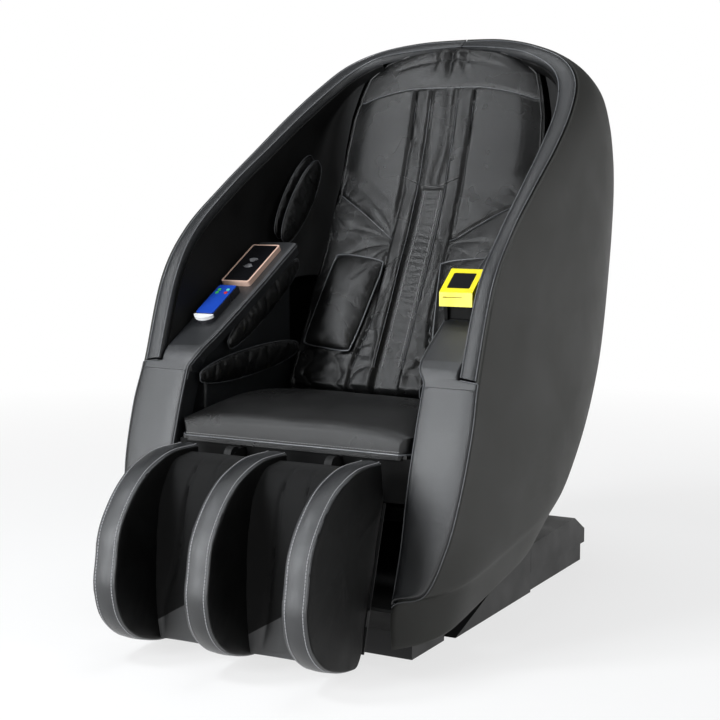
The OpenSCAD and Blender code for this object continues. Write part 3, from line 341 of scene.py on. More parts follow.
def puffed(piece, rim, cap, slack, voxel=4.5):
    """Remeshes a pad, holds it at its rim line, and lets pressure swell it."""
    finish_with(piece, "REMESH", mode="VOXEL", voxel_size=voxel * MM)
    start = read(piece.data.vertices, "co")
    line = KDTree(len(rim))
    for k, p in enumerate(rim):
        line.insert(Vector(np.asarray(p) * MM), k)
    line.balance()
    held = [k for k, p in enumerate(start) if line.find(Vector(p))[2] < HOLD * voxel * MM]
    piece.vertex_groups.new(name="rim").add(held, 1.0, "REPLACE")
    m = piece.modifiers.new("cloth", "CLOTH")
    m.settings.use_pressure = True
    m.settings.uniform_pressure_force = PRESSURE
    m.settings.effector_weights.gravity = 0
    m.settings.vertex_group_mass = "rim"
    m.settings.shrink_min = -slack
    m.point_cache.frame_start, m.point_cache.frame_end = 1, STEPS
    for frame_number in range(1, STEPS + 1):
        scene.frame_set(frame_number)
    graph = bpy.context.evaluated_depsgraph_get()
    end = read(piece.evaluated_get(graph).data.vertices, "co")
    piece.modifiers.remove(m)
    piece.vertex_groups.clear()
    scene.frame_set(1)
    move = end - start
    far = np.linalg.norm(move, axis=1, keepdims=True)
    move = move * np.minimum(1, cap * MM / np.maximum(far, 1e-9))
    piece.data.vertices.foreach_set("co", (start + move).ravel())
    finish_with(piece, "SUBSURF", levels=1, render_levels=1)
    piece.data.shade_smooth()
    print(piece.name, "points", len(start), "held", len(held), "mean move mm", round(far.mean() / MM, 2))
    return piece

# %% [markdown]
# ## The finishes
# A hide has three scales: clouds of tone a hand wide, fine wrinkles a finger
# wide, and pebbles about a millimetre wide. They live in one node group, so each
# leather only says how strong each is. Numbers that are the same all over a
# surface are set on the shader itself.

# %% Node helpers
def add(tree, kind, links=(), **values):
    """Adds a node, sets its values by socket name or _property, and links its inputs."""
    node = tree.nodes.new(kind)
    for k, v in values.items():
        if k.startswith("_"):
            setattr(node, k[1:], v)
        else:
            node.inputs[k].default_value = v
    for socket, source in links:
        tree.links.new(source, node.inputs[socket])
    return node


def new_tree(name, kind, inputs, outputs):
    """A node group with its input node and its output node."""
    tree = bpy.data.node_groups.new(name, kind)
    for way, sockets in (("INPUT", inputs), ("OUTPUT", outputs)):
        for n, socket in sockets.items():
            tree.interface.new_socket(n, in_out=way, socket_type="NodeSocket" + socket)
    return tree, tree.nodes.new("NodeGroupInput"), tree.nodes.new("NodeGroupOutput")


def pattern(tree, kind, output="Fac", **values):
    """One output of a texture in object space."""
    where = add(tree, "ShaderNodeTexCoord").outputs["Object"]
    return add(tree, "ShaderNodeTex" + kind, [("Vector", where)], **values).outputs[output]


def ranged(tree, value, low, high, to_low=0.0, to_high=1.0):
    """Stretches the span from low to high onto another span."""
    return add(tree, "ShaderNodeMapRange", [("Value", value)], **{
        "From Min": low, "From Max": high, "To Min": to_low, "To Max": to_high}).outputs["Result"]


def calc(tree, operation, a, b, clamp=False):
    node = add(tree, "ShaderNodeMath", [(0, a)], _operation=operation, _use_clamp=clamp)
    if isinstance(b, float):
        node.inputs[1].default_value = b
    else:
        tree.links.new(b, node.inputs[1])
    return node.outputs[0]


def rgba(color, gain=1.0):
    """A colour, or one grey level, times a gain."""
    color = color if isinstance(color, tuple) else (color,) * 3
    return (*[min(c * gain, 1) for c in color], 1)


def new_material(name):
    material = bpy.data.materials.new(name)
    material.use_nodes = True
    return material, material.node_tree


def surface(tree, tone, cloud, height, colors, rough, bump, shine):
    """Wires tone, roughness and relief to the shader of a material."""
    shader = tree.nodes["Principled BSDF"]
    mix = add(tree, "ShaderNodeMix", [("Factor", tone)], _data_type="RGBA")
    mix.inputs[6].default_value, mix.inputs[7].default_value = colors
    tree.links.new(mix.outputs[2], shader.inputs["Base Color"])
    if isinstance(rough, tuple):
        tree.links.new(ranged(tree, cloud, 0.3, 0.7, *rough), shader.inputs["Roughness"])
    else:
        shader.inputs["Roughness"].default_value = rough
    relief = add(tree, "ShaderNodeBump", [("Height", height)], Strength=bump[0], Distance=bump[1])
    tree.links.new(relief.outputs["Normal"], shader.inputs["Normal"])
    shader.inputs["Specular IOR Level"].default_value = shine
    return shader

# %% A shader group for hide
PEBBLES, PEBBLE_HEIGHT = 900.0, 0.3

hide, hide_in, hide_out = new_tree(
    "hide", "ShaderNodeTree", {"Wrinkles": "Float"}, {"Height": "Float", "Cloud": "Float"})
cloud = pattern(hide, "Noise", Scale=9.0, Detail=3.0, Roughness=0.55)
wrinkle = pattern(hide, "Noise", Scale=95.0, Detail=4.0, Roughness=0.6, Distortion=0.8)
cells = pattern(hide, "Voronoi", "Distance", _feature="DISTANCE_TO_EDGE", Scale=PEBBLES)
pebbles = calc(hide, "MULTIPLY", ranged(hide, cells, 0.0, 0.22), PEBBLE_HEIGHT)
wrinkles = calc(hide, "MULTIPLY", wrinkle, hide_in.outputs["Wrinkles"])
hide.links.new(calc(hide, "ADD", pebbles, wrinkles), hide_out.inputs["Height"])
hide.links.new(cloud, hide_out.inputs["Cloud"])
print("hide nodes:", len(hide.nodes))

# %% Leather from the group
def leather(name, dark, light, rough, shine=0.5, wrinkles=0.5):
    material, tree = new_material(name)
    skin = add(tree, "ShaderNodeGroup", _node_tree=hide, Wrinkles=wrinkles).outputs
    tone = ranged(tree, skin["Cloud"], 0.35, 0.65)
    surface(tree, tone, skin["Cloud"], skin["Height"], (rgba(dark), rgba(light)), rough, (0.6, 0.0006), shine)
    return material


shell_leather = leather("shell leather", (0.017, 0.017, 0.015), (0.024, 0.024, 0.021),
                        (0.48, 0.58), 0.35, 0.25)
# the rim, arm and fin leathers have a cool blue cast in their colour: a painted reflection of the blue-white
# soft boxes
rim_leather = leather("rim leather", (0.009, 0.010, 0.011), (0.014, 0.015, 0.017), (0.3, 0.38), 0.6, 0.3)
arm_leather = leather("arm leather", (0.009, 0.010, 0.011), (0.014, 0.015, 0.017), (0.29, 0.37), 0.75, 0.35)
liner_leather = leather("liner leather", 0.002, 0.004, (0.6, 0.72), 0.25)
seat_leather = leather("seat leather", 0.006, 0.010, (0.25, 0.34), 0.38)
back_leather = leather("back leather", 0.004, 0.008, (0.22, 0.30), 0.4, 0.15)
bag_leather = leather("airbag leather", 0.003, 0.006, (0.26, 0.34))
# its cool blue cast is a painted reflection of the soft boxes
fin_leather = leather("fin leather", (0.008, 0.009, 0.010), (0.013, 0.014, 0.016), (0.28, 0.36), 0.75, 0.4)
# the fin cheeks are dark leather, made darker still as painted shade where they face in between the fins
fin_side_shaded_leather = leather("fin side leather", 0.003, 0.005, (0.36, 0.46), 0.14)
print("leathers:", [m.name for m in bpy.data.materials if "leather" in m.name])

# %% [markdown]
# ## Moulded plastic, steel, glass and cloth
# A moulded cover has a fine spark-eroded grain; painted steel is smoother with a
# slow orange peel; cloth is a weave of two crossed waves. Frames, covers,
# controls and the massage head are the right shape already, so the table names
# the solids that only take a finish. The last rows are for seams and signs.

# %% Plain finishes with grain
def moulded(name, color, rough, metal=0.0, grain=900.0, height=0.4, spread=0.06, shine=0.5):
    material, tree = new_material(name)
    slow = pattern(tree, "Noise", Scale=14.0, Detail=3.0)
    fine = pattern(tree, "Noise", Scale=grain, Detail=2.0)
    shader = surface(tree, slow, slow, fine, (rgba(color, 0.86), rgba(color, 1.14)),
                     (rough - spread, rough + spread), (height, 0.0002), shine)
    shader.inputs["Metallic"].default_value = metal
    return material


KEY = dict(grain=1800, height=0.1)
PLAIN = {
    "base plastic": (0.018, 0.5, dict(grain=1400, shine=0.35),
                     ["base_side_covers", "base_rear_cover", "bottom_pan", "leg_rear_cover"]),
    "black moulding": ((0.008, 0.008, 0.009), 0.45, dict(grain=1600, shine=0.35),
                       ["front_plinth", "power_inlet", "control_box", "massage_carriage"]),
    "bracket black": (0.003, 0.6, dict(grain=1600, shine=0.12), ["terminal_bracket"]),
    "powder coat": (0.006, 0.55, dict(grain=700, shine=0.25),
                    ["base_frame", "seat_frame", "lower_frame", "back_frame", "leg_frame",
                     "tilt_strut_body"]),
    "rubber": (0.012, 0.75, dict(grain=500, height=0.6), ["rubber_feet"]),
    "wheel nylon": ((0.03, 0.03, 0.032), 0.45, dict(grain=1200), ["wheel_left", "wheel_right"]),
    "switch red": ((0.42, 0.02, 0.02), 0.28, dict(grain=1500, height=0.1), ["power_switch"]),
    "turned steel": ((0.52, 0.52, 0.53), 0.3, dict(metal=1.0, grain=1200, height=0.25),
                     ["massage_arm_left", "massage_arm_right", "tilt_strut_rod"]),
    "roller rubber": ((0.42, 0.30, 0.17), 0.6, dict(grain=500), ["roller_left", "roller_right"]),
    "blackened board": ((0.012, 0.011, 0.010), 0.6, dict(grain=160, height=0.5), ["seat_board"]),
    "rose gold": ((0.74, 0.50, 0.40), 0.3, dict(metal=0.12, grain=2600, height=0.15), ["charger_frame"]),
    "black glass": ((0.005, 0.005, 0.006), 0.1, dict(grain=40, height=0.02, spread=0.02),
                    ["charger_glass", "terminal_screen"]),
    "remote black": ((0.014, 0.014, 0.017), 0.3, dict(grain=1800, height=0.2), ["remote_body"]),
    "remote blue": ((0.010, 0.055, 0.38), 0.25, KEY, ["remote_face"]),
    "remote white": (0.72, 0.3, KEY, ["remote_end_cap"]),
    "key red": ((0.55, 0.03, 0.03), 0.3, KEY, ["remote_key_4"]),
    "key green": ((0.05, 0.42, 0.10), 0.3, KEY, ["remote_key_1", "remote_key_3"]),
    "key teal": ((0.10, 0.50, 0.45), 0.3, KEY, ["remote_key_2"]),
    "terminal yellow": ((0.86, 0.74, 0.0), 0.34, dict(grain=1500, height=0.15), ["terminal_body"]),
    "symbol grey": ((0.25, 0.25, 0.26), 0.4, dict(grain=1500, height=0.05), []),
    "piping leather": (0.016, 0.3, {}, []),
    # the pale piping is the dark piping leather made lighter: a painted highlight along the seams
    "painted highlight piping": ((0.085, 0.088, 0.093), 0.28, {}, []),
    "thread": (0.26, 0.6, dict(grain=2500), []),
    "pale thread": ((0.36, 0.36, 0.37), 0.6, dict(grain=2500), []),
}
plain = {}
for name, (color, rough, options, solids) in PLAIN.items():
    plain[name] = moulded(name, color, rough, **options)
    for node in solids:
        paint(nodes[node], plain[name])
paint(nodes["rear_seam_strip"], shell_leather)
print("plain finishes:", len(plain))

# %% Stretch cloth
def cloth(name, color):
    material, tree = new_material(name)
    warp, weft = (pattern(tree, "Wave", _bands_direction=way, Scale=420.0) for way in "XZ")
    slow = pattern(tree, "Noise", Scale=18.0, Detail=4.0)
    shader = surface(tree, slow, slow, calc(tree, "MULTIPLY", warp, weft),
                     (rgba(color, 0.7), rgba(color, 1.3)), 0.6, (0.5, 0.0004), 0.16)
    shader.inputs["Sheen Weight"].default_value = 0.04
    shader.inputs["Sheen Roughness"].default_value = 0.5
    return material


calf_cloth = cloth("calf cloth", 0.003)
paint(nodes["seat_apron"], calf_cloth)

# %% [markdown]
# ## Piping and stitches
# Every edge of the upholstery is closed by a seam. Some have a cord of piping,
# some a row of stitches. Both follow a path, so each is a Geometry Nodes tree:
# it takes a mesh of bare edges, and gives back tubes, or short threads a pitch
# apart. One object holds all the seams of one kind on one body.

# %% Node trees for seams
def seam_tree(name, sizes):
    """A tree that takes sizes and a finish, up to the curve of its path."""
    inputs = {"Geometry": "Geometry", **dict.fromkeys(sizes, "Float"), "Finish": "Material"}
    tree, group_in, group_out = new_tree(name, "GeometryNodeTree", inputs, {"Geometry": "Geometry"})
    path = add(tree, "GeometryNodeMeshToCurve", [("Mesh", group_in.outputs["Geometry"])])
    return tree, group_in.outputs, group_out, path.outputs["Curve"]


def end_tree(tree, made, taken, group_out):
    """Real geometry, its finish, and out."""
    real = add(tree, "GeometryNodeRealizeInstances", [("Geometry", made)])
    done = add(tree, "GeometryNodeSetMaterial",
               [("Geometry", real.outputs["Geometry"]), ("Material", taken["Finish"])])
    tree.links.new(done.outputs["Geometry"], group_out.inputs["Geometry"])


piping_tree, taken, group_out, path = seam_tree("piping", ["Radius"])
ring = add(piping_tree, "GeometryNodeCurvePrimitiveCircle", [("Radius", taken["Radius"])], Resolution=6)
cord = add(piping_tree, "GeometryNodeCurveToMesh",
           [("Curve", path), ("Profile Curve", ring.outputs["Curve"])], **{"Fill Caps": True})
smooth = add(piping_tree, "GeometryNodeSetShadeSmooth", [("Geometry", cord.outputs["Mesh"])])
end_tree(piping_tree, smooth.outputs["Geometry"], taken, group_out)

stitch_tree, taken, group_out, path = seam_tree("stitches", ["Pitch", "Length", "Thickness"])
steps = add(stitch_tree, "GeometryNodeResampleCurve",
            [("Curve", path), ("Length", taken["Pitch"])], _mode="LENGTH")
along = add(stitch_tree, "GeometryNodeInputTangent")
turn = add(stitch_tree, "FunctionNodeAlignEulerToVector", [("Vector", along.outputs["Tangent"])], _axis="Z")
one = add(stitch_tree, "GeometryNodeMeshCylinder",
          [("Radius", taken["Thickness"]), ("Depth", taken["Length"])], Vertices=5)
row = add(stitch_tree, "GeometryNodeInstanceOnPoints",
          [("Points", steps.outputs["Curve"]), ("Instance", one.outputs["Mesh"]),
           ("Rotation", turn.outputs["Rotation"])])
end_tree(stitch_tree, row.outputs["Instances"], taken, group_out)
print("seam trees:", piping_tree.name, stitch_tree.name)

# %% Seams along paths
STITCH = 4.8  # length of one thread


def seam(name, paths, tree, values, body):
    """Runs a seam tree along paths in millimetres and keeps the plain mesh."""
    points, edges = [], []
    for p in paths:
        first = len(points)
        points.extend((np.asarray(p) * MM).tolist())
        edges.extend([first + k, first + k + 1] for k in range(len(p) - 1))
    mesh = bpy.data.meshes.new(name)
    mesh.from_pydata(points, edges, [])
    piece = bpy.data.objects.new(name, mesh)
    scene.collection.objects.link(piece)
    m = piece.modifiers.new("seam", "NODES")
    m.node_group = tree
    for socket in tree.interface.items_tree:
        if socket.in_out == "INPUT" and socket.name in values:
            m[socket.identifier] = values[socket.name]
    graph = bpy.context.evaluated_depsgraph_get()
    made = bpy.data.meshes.new_from_object(piece.evaluated_get(graph))
    piece.modifiers.remove(m)
    piece.data = made
    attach(piece, body)
    print(name, "paths", len(paths), "faces", len(made.polygons))


def piping(name, paths, radius, finish, body="capsule"):
    seam(name, paths, piping_tree, {"Radius": radius * MM, "Finish": plain[finish]}, body)


def stitches(name, paths, thick, finish, body="capsule", pitch=6.5):
    seam(name, paths, stitch_tree, {"Pitch": pitch * MM, "Length": STITCH * MM, "Thickness": thick * MM,
                                    "Finish": plain[finish]}, body)

# %% [markdown]
# ## The side shells
# Each half of the egg is a wood and foam board in sewn leather. Seventeen
# stations up its front edge say how far it reaches forward, back and out; between
# the front edge and the widest line it is nearly flat, and behind it turns round
# to the middle seam like a superellipse.

# %% Shell stations
# Each row: front edge x, y, z; rear y, z; widest x; bulge power; rear corner power.
SHELL = [
    [276, -410, 42, 294, 167, 362, 8, 3.0], [272, -397, 120, 380, 222, 374, 8, 3.1],
    [334, -387, 147, 440, 270, 383, 6, 3.2], [364, -361, 225, 500, 335, 389, 4, 3.3],
    [382, -338, 322, 550, 410, 395, 2.5, 3.4], [388, -300, 440, 594, 505, 398, 2, 3.5],
    [384, -266, 530, 622, 600, 399, 2, 3.5], [386, -200, 698, 638, 720, 400, 2, 3.5],
    [386, -110, 800, 639, 800, 398, 2, 3.5], [380, 20, 889, 627, 875, 393, 2, 3.5],
    [372, 150, 970, 605, 940, 386, 2, 3.4], [357, 273, 1052, 578, 1010, 372, 2, 3.2],
    [328, 370, 1123, 552, 1075, 345, 2, 3.0], [276, 417, 1175, 532, 1120, 296, 2, 2.8],
    [195, 436, 1207, 520, 1155, 214, 2, 2.6], [100, 470, 1226, 514, 1185, 112, 2, 2.4],
    [0, 500, 1232, 512, 1204, 4, 2, 2.2]]
MIDDLE_GAP, HALF_W, SHELL_WALL, EDGE_ROLL = 1.5, 400, 8, 3.0


def off_middle(x):
    """Makes room for the gap between the two halves."""
    return MIDDLE_GAP + x * (1 - MIDDLE_GAP / HALF_W)


def shell_at(t, u):
    """Point of the shell at station t, with u from 0 at the front edge to 1 at the middle seam."""
    edge_x, front, edge_z, rear, rear_z, wide, bulge, corner = np.moveaxis(batten(SHELL, t), -1, 0)
    bend = front + 0.42 * (rear - front)
    f = np.minimum(u * 2, 1) ** 1.6
    a = np.pi / 2 * np.clip(u * 2 - 1, 0, 1)
    k = 2 / corner
    back = u > 0.5
    y = np.where(back, bend + (rear - bend) * np.sin(a) ** k, front + (bend - front) * f)
    x = np.where(back, wide * np.maximum(np.cos(a), 0) ** k, wide - (wide - edge_x) * (1 - f) ** bulge)
    lift = np.minimum(1, 0.76 + 0.08 * t)
    z = edge_z + (rear_z - edge_z) * (np.maximum(y - front, 0) / (rear - front)) ** lift
    return np.stack([off_middle(x), y, z], -1)


t, u = grid(np.linspace(0, len(SHELL) - 1, 150), np.linspace(0, 1, 66) ** 0.95)
outer = shell_at(t, u)
out = slopes(outer)
inner = outer - SHELL_WALL * out
inner[..., 0] = np.maximum(inner[..., 0], MIDDLE_GAP)
roll = np.zeros((*t.shape, 1))
roll[0] = roll[:, 0] = EDGE_ROLL
left_shell = sheet_of("shell_skin_left", outer - out * roll, inner)
dress_pair(left_shell, shell_leather, "side_shell")

# %% [markdown]
# ## The rim band
# A padded band runs round the mouth of the egg between the shell and the lining.
# It is lofted: a small section with a crowned face is carried along the two edge
# lines, and a cord is sewn in on both sides.

# %% Rim band
RIM_INNER = [[346, -266, 536], [349, -200, 697], [354, -115, 797], [347, 20, 894], [334, 150, 975],
             [316, 270, 1054], [285, 358, 1120], [245, 392, 1160], [180, 404, 1190], [90, 436, 1205],
             [0, 470, 1213]]
RIM_FIRST, RIM_DEPTH, RIM_CROWN, RIM_GAP, RIM_STEPS = 6, 18, 3, 0.6, 130
RIM_LAST = len(RIM_INNER) - 1


def rim_line(stations, t):
    line = np.array(stations, float)
    line[:, 0] = off_middle(line[:, 0])
    return batten(line, t)


rim_t = np.linspace(0, RIM_LAST, RIM_STEPS)
rim_o = rim_line([row[:3] for row in SHELL[RIM_FIRST:]], rim_t)
rim_i = rim_line(RIM_INNER, rim_t)
rim_face = unit(np.cross(unit(np.gradient(rim_o, axis=0)), rim_i - rim_o))
rim_face[(rim_face[:, 1] > 0) & (rim_face[:, 2] < 0.2)] *= -1
across = unit(rim_i - rim_o)
rim_start = rim_o + across * (SHELL_WALL + RIM_GAP + 5 * (rim_t / RIM_LAST)[:, None] ** 12)
q = np.linspace(1, 0, 15)
crown = RIM_CROWN * (1 - np.abs(2 * q - 1) ** 2.6)
band = (rim_start[:, None] + (rim_i - rim_start)[:, None] * q[None, :, None]
        + rim_face[:, None] * crown[None, :, None])
low = np.stack([rim_start - rim_face * RIM_DEPTH, rim_i - rim_face * RIM_DEPTH], 1)
rings = np.concatenate([low, band], 1)
rings[..., 0] = np.maximum(rings[..., 0], MIDDLE_GAP)
dress_pair(tube_of("rim_pad_left", rings), rim_leather, "rim_band")
rim_edges = [rim_i + rim_face * 0.6 + across * 0.4, rim_start + rim_face * 0.6 - across * 0.3]
piping("rim_piping", on_both(rim_edges), 1.6, "painted highlight piping")

# %% [markdown]
# ## The lining
# Behind the rim the egg is lined with matte black leather, which dives back
# beside the sitter and turns in behind the back cushion.

# %% Back plane and lining
LEAN = math.radians(24.5)
BACK_Y, BACK_Z, BACK_HALF = 111, 467, 250
LINING, LINER_TURN = 5, 0.4  # thickness, and where across the lining begins to turn in
HOLLOW = [[0, 0], [120, 12], [244, 21], [350, 30], [457, 33], [580, 22], [710, 3], [800, -6]]
WIDTH = [[0, 1], [560, 1], [640, 0.975], [700, 0.92], [740, 0.87], [775, 0.70], [792, 0.50], [800, 0.34]]
LINER_END = [[262, 680], [300, 760], [332, 840], [362, 900], [384, 970], [402, 1040], [414, 1090],
             [424, 1130], [430, 1160]]


def on_back(x, y, s):
    """Place on the leaning back: x across, y behind the plane, s up the back."""
    return np.stack([x + 0 * s, BACK_Y + y * math.cos(LEAN) + s * math.sin(LEAN),
                     BACK_Z - y * math.sin(LEAN) + s * math.cos(LEAN)], -1)


def back_width(s):
    return BACK_HALF * np.interp(s, *zip(*WIDTH))


def liner_at(t, u):
    """Point of the lining: t along the rim, u from the rim back and in."""
    r = t / 8 * 0.8 * (RIM_STEPS - 1)
    k = np.minimum(np.floor(r).astype(int), RIM_STEPS - 2)
    g = (r - k)[..., None]
    face = unit(rim_face[k] * (1 - g) + rim_face[k + 1] * g)
    edge = rim_i[k] * (1 - g) + rim_i[k + 1] * g - face * (RIM_DEPTH + 0.3)
    edge_x, edge_y, edge_z = np.moveaxis(edge, -1, 0)
    end_y, end_z = np.moveaxis(batten(LINER_END, t), -1, 0)
    rear_x = back_width((end_z - BACK_Z) / math.cos(LEAN)) + 11
    bend = edge_y + 0.62 * (end_y - edge_y)
    f = np.minimum(u / LINER_TURN, 1)
    a = np.maximum(0, (u - LINER_TURN) / (1 - LINER_TURN)) * np.pi / 2
    y = np.where(u < LINER_TURN, edge_y + (bend - edge_y) * f, bend + (end_y - bend) * np.sin(a) ** 0.6)
    x = rear_x + (edge_x - rear_x) * np.where(u < LINER_TURN, 1, np.maximum(np.cos(a), 0) ** 0.6)
    z = edge_z + (end_z - edge_z) * (y - edge_y) / (end_y - edge_y)
    return np.stack([x, y, z], -1)


t, u = grid(np.linspace(0, 8, 90), np.linspace(0, 1, 60))
rear = liner_at(t, u)
in_way = slopes(rear)
front = rear - LINING * in_way
front = front - in_way * ((1.2 * swell(front, 90, 3) + 1.0) * np.sin(np.pi * u) ** 0.5)[..., None]
dress_pair(sheet_of("lining_left", front, rear), liner_leather, "inner_liner")

# %% [markdown]
# ## Armrests and pillars
# One long hide covers the padded pillar in the mouth of the shell and bends back
# over the armrest. So it is made as one grid: its rows climb from the toe up the
# pillar and on along the slope, its columns run from the seat's side outwards. At
# the top it narrows, because the end of the rim band stands there. A plain box
# below carries it.

# %% The path of the long hide
ARM_OUT = 338
ARM_IN = ARM_OUT - 70
SLOPE = math.radians(29.5)
ARM_FRONT, ARM_END, ARM_LOW = -270, 112, 372
WING = [[-300, 0], [-268, 0.1], [-258, 0.55], [-210, 0.8], [-120, 0.92], [-20, 1], [112, 1]]
WING_REACH, WING_THICK, POST_TOP = 30, 26, 528


def arm_top(y):
    return 545 + (y - ARM_FRONT) * math.tan(SLOPE)


post_t = np.linspace(1.0, 5.86, 90)
post = batten(SHELL, post_t)
post_z = post[:, 2] + 6 * (1 - (post_t - 1) / 4.86) ** 2
bend = np.array([[post[-1, 1] - 1, post_z[-1]], [-267, 529], [-259, 546], [-244, arm_top(-244) + 0.5]])
run_y = np.linspace(-240, ARM_END, 60)
spine = np.concatenate([np.column_stack([post[:, 1] - 1, post_z]), batten(bend, np.linspace(0, 3, 22))[1:],
                        np.column_stack([run_y, arm_top(run_y) + 0.5])])
row_id = np.arange(len(spine))
on_post = row_id < len(post)
reach = np.interp(spine[:, 0], *zip(*WING)) * (spine[:, 1] > POST_TOP) * WING_REACH
reach = np.convolve(np.pad(reach, 3, "edge"), np.ones(7) / 7, "valid")
edge_in = ARM_IN + 2 - reach
edge_out = np.interp(row_id, np.arange(len(post)), post[:, 0]) - 1.5
edge_out = edge_out + (ARM_OUT + 2 - edge_out) * ease(spine[:, 1], POST_TOP - 1, POST_TOP + 3)
edge_out = np.maximum(edge_out, edge_in + 4)
way = unit(np.gradient(spine, axis=0))
inward = np.stack([way[:, 1], -way[:, 0]], -1)
depth = np.interp(row_id, [0, len(post) - 1, len(post) + 18], [44, 50, WING_THICK])
print("hide rows:", len(spine))

# %% Armrests
HIDE_ROLL, POST_CROWN = 6, 3
v = crowded(44)[None]
hide_x = (edge_in + edge_out)[:, None] / 2 + (edge_out - edge_in)[:, None] / 2 * v
side_gap = np.minimum(hide_x - edge_in[:, None], edge_out[:, None] - hide_x)
flat = np.stack([hide_x, spine[:, :1] + 0 * hide_x, spine[:, 1:] + 0 * hide_x], -1)
crown = (POST_CROWN * on_post[:, None] + 1.5) * (1 - v ** 4)
sink = HIDE_ROLL * rounded(side_gap, HIDE_ROLL) - crown + 0.5 * swell(flat, 120, 15)
front, rear = flat.copy(), flat.copy()
front[..., 1:] += inward[:, None] * sink[..., None]
rear[..., 1:] += inward[:, None] * depth[:, None, None]
long_hide = sheet_of("long_hide", front, rear, 50)
block = [[ARM_FRONT + 62, ARM_LOW], [ARM_FRONT + 62, 500], [ARM_FRONT + 8, 508], [ARM_FRONT + 8, 536],
         [ARM_FRONT + 12, arm_top(ARM_FRONT + 12) - 3], [ARM_END, arm_top(ARM_END) - 3],
         [ARM_END + 20, arm_top(ARM_END) - 15], [ARM_END + 20, ARM_LOW]]
n = len(block)
faces = [list(range(n)), list(range(2 * n - 1, n - 1, -1))]
faces += [[k, n + k, n + (k + 1) % n, (k + 1) % n] for k in range(n)]
box = face_out(make_piece("box", [[x, *p] for x in (ARM_IN, ARM_OUT) for p in block], faces))
finish_with(box, "BEVEL", width=0.005, segments=4, limit_method="ANGLE")
box.data.shade_smooth()
dress_pair(join("armrest_left", [long_hide, box]), arm_leather, "arm")

# %% Their piped edges
inner_seam = front[:, 3] + np.array([-0.6, -0.6, 0.3])
second_seam = inner_seam.copy()
second_seam[:, 1:] += inward * 5.5
second_seam[:, 0] -= 1.2
shell_seam = shell_at(np.linspace(1.0, 5.97, 90), np.zeros(90)) + np.array([-1.5, -1.6, 0])
rim_foot = np.array([[x, -268.5, 526.5 + (384 - x) * 0.12] for x in np.linspace(346, 381, 12)])
arm_seams = [inner_seam, second_seam[len(post) - 4:], shell_seam, rim_foot]
piping("arm_piping", on_both(arm_seams), 1.2, "painted highlight piping")

# %% [markdown]
# ## The seat
# The cushion is a foam block under one hide: crowned in the middle, with sides
# that pull in between the corners. A welt runs along the front edge and round
# both corners.

# %% Seat cushion
SEAT_FRONT, SEAT_BACK, SEAT_HALF = -316, 92, ARM_IN - 3
BOARD_TOP, SEAT_EDGE, SEAT_TOP = 390, 39, 82
CORNER, CORNER_IN, NOSE, NOSE_DROP = 46, 22, 18, 13
SEAT_SEAM = np.array([[262, -40], [232, 30], [170, 72], [120, 95]])


def seat_height(x, q):
    """Height over the board at x, with q from 0 at the front to 1 at the rear."""
    s = x / SEAT_HALF
    edge = SEAT_EDGE + 3 * q
    run = np.maximum(np.sin(np.pi * np.minimum(q * 1.25 + 0.01, 0.5 + 0.5 * q)), 0) ** 0.9
    full = edge * 0.22 + (SEAT_TOP - edge) * run * (1 - 0.22 * s * s)
    return edge * 0.78 + full * np.maximum(1 - np.abs(s) ** 6, 0)


q, v = grid(np.linspace(0, 1, 110), crowded(130))
y = SEAT_FRONT + q * (SEAT_BACK - SEAT_FRONT)
tuck = np.maximum(0, CORNER - np.minimum(y - SEAT_FRONT, SEAT_BACK - y)) / CORNER
x = v * (SEAT_HALF - CORNER_IN * tuck ** 3)
top = np.stack([x, y, BOARD_TOP + seat_height(v * SEAT_HALF, q)], -1)
groove = 3.2 * ridge(np.minimum(line_gap(x, y, SEAT_SEAM), line_gap(-x, y, SEAT_SEAM)), 7)
soft = 1.8 * swell(top, 120, 21) + 1.5 * swell(top, 45, 22) * ease(q, 0.45, 1)
soft -= 4 * crease(top * np.array([1, 1.8, 1]), 70, 24, 7) * ease(q, 0.72, 1.0)
top[..., 2] += soft * np.clip(1 - np.abs(v) ** 8, 0, 1) - groove - NOSE_DROP * rounded(y - SEAT_FRONT, NOSE)
base = top.copy()
base[..., 2] = BOARD_TOP + 0.3 - 12 * (y < SEAT_FRONT + 7)
base[..., 0] *= 0.985
dress(sheet_of("seat_pad", top, base), seat_leather, "seat_cushion")

# %% The seat's welt and stitches
low_x = np.linspace(-SEAT_HALF + 24, SEAT_HALF - 24, 60)
low_edge = np.column_stack([low_x, np.full(60, SEAT_FRONT - 0.6), np.full(60, BOARD_TOP + 4.0)])
behind = np.linspace(CORNER - 2, 0, 14)
corner_x = SEAT_HALF - CORNER_IN * ((CORNER - behind) / CORNER) ** 3
corner = np.column_stack([-corner_x, SEAT_FRONT + behind + 0.4, np.full(14, BOARD_TOP - 1.5)])
welt = np.concatenate([corner, low_edge + np.array([0, 1.0, -5.5]), mirrored(corner)[::-1]])
piping("seat_welt", [welt], 2.0, "painted highlight piping")
x, y = batten(SEAT_SEAM, np.linspace(0, 3, 24)).T
z = BOARD_TOP + seat_height(x, (y - SEAT_FRONT) / (SEAT_BACK - SEAT_FRONT)) - 2.4
rear_line = np.column_stack([x, y, z])
stitches("seat_stitches", [low_edge] + on_both([rear_line]), 0.5, "thread", pitch=6)

# %% [markdown]
# ## The back
# One loose cover hangs over the massage head: a head panel, two shoulder panels
# that end in a V, two raised strips beside a sunk channel, and softer leather
# below. Its face is written as depths added to each other: hollow, crown, strips,
# channel, seams, then folds.

# %% Back cover
STRIP_IN, STRIP_OUT = 38, 73
CHANNEL_TOP, HEAD_FOOT, BACK_LOW, BACK_HIGH = 468, 728, -34, 800
V_SEAM = [(250, 457), (160, 398), (72, 334)]


def head_line(x):
    """Height of the seam below the head panel."""
    return 704 - 24 * np.clip((np.abs(x) - 75) / 140, 0, 1) ** 1.5


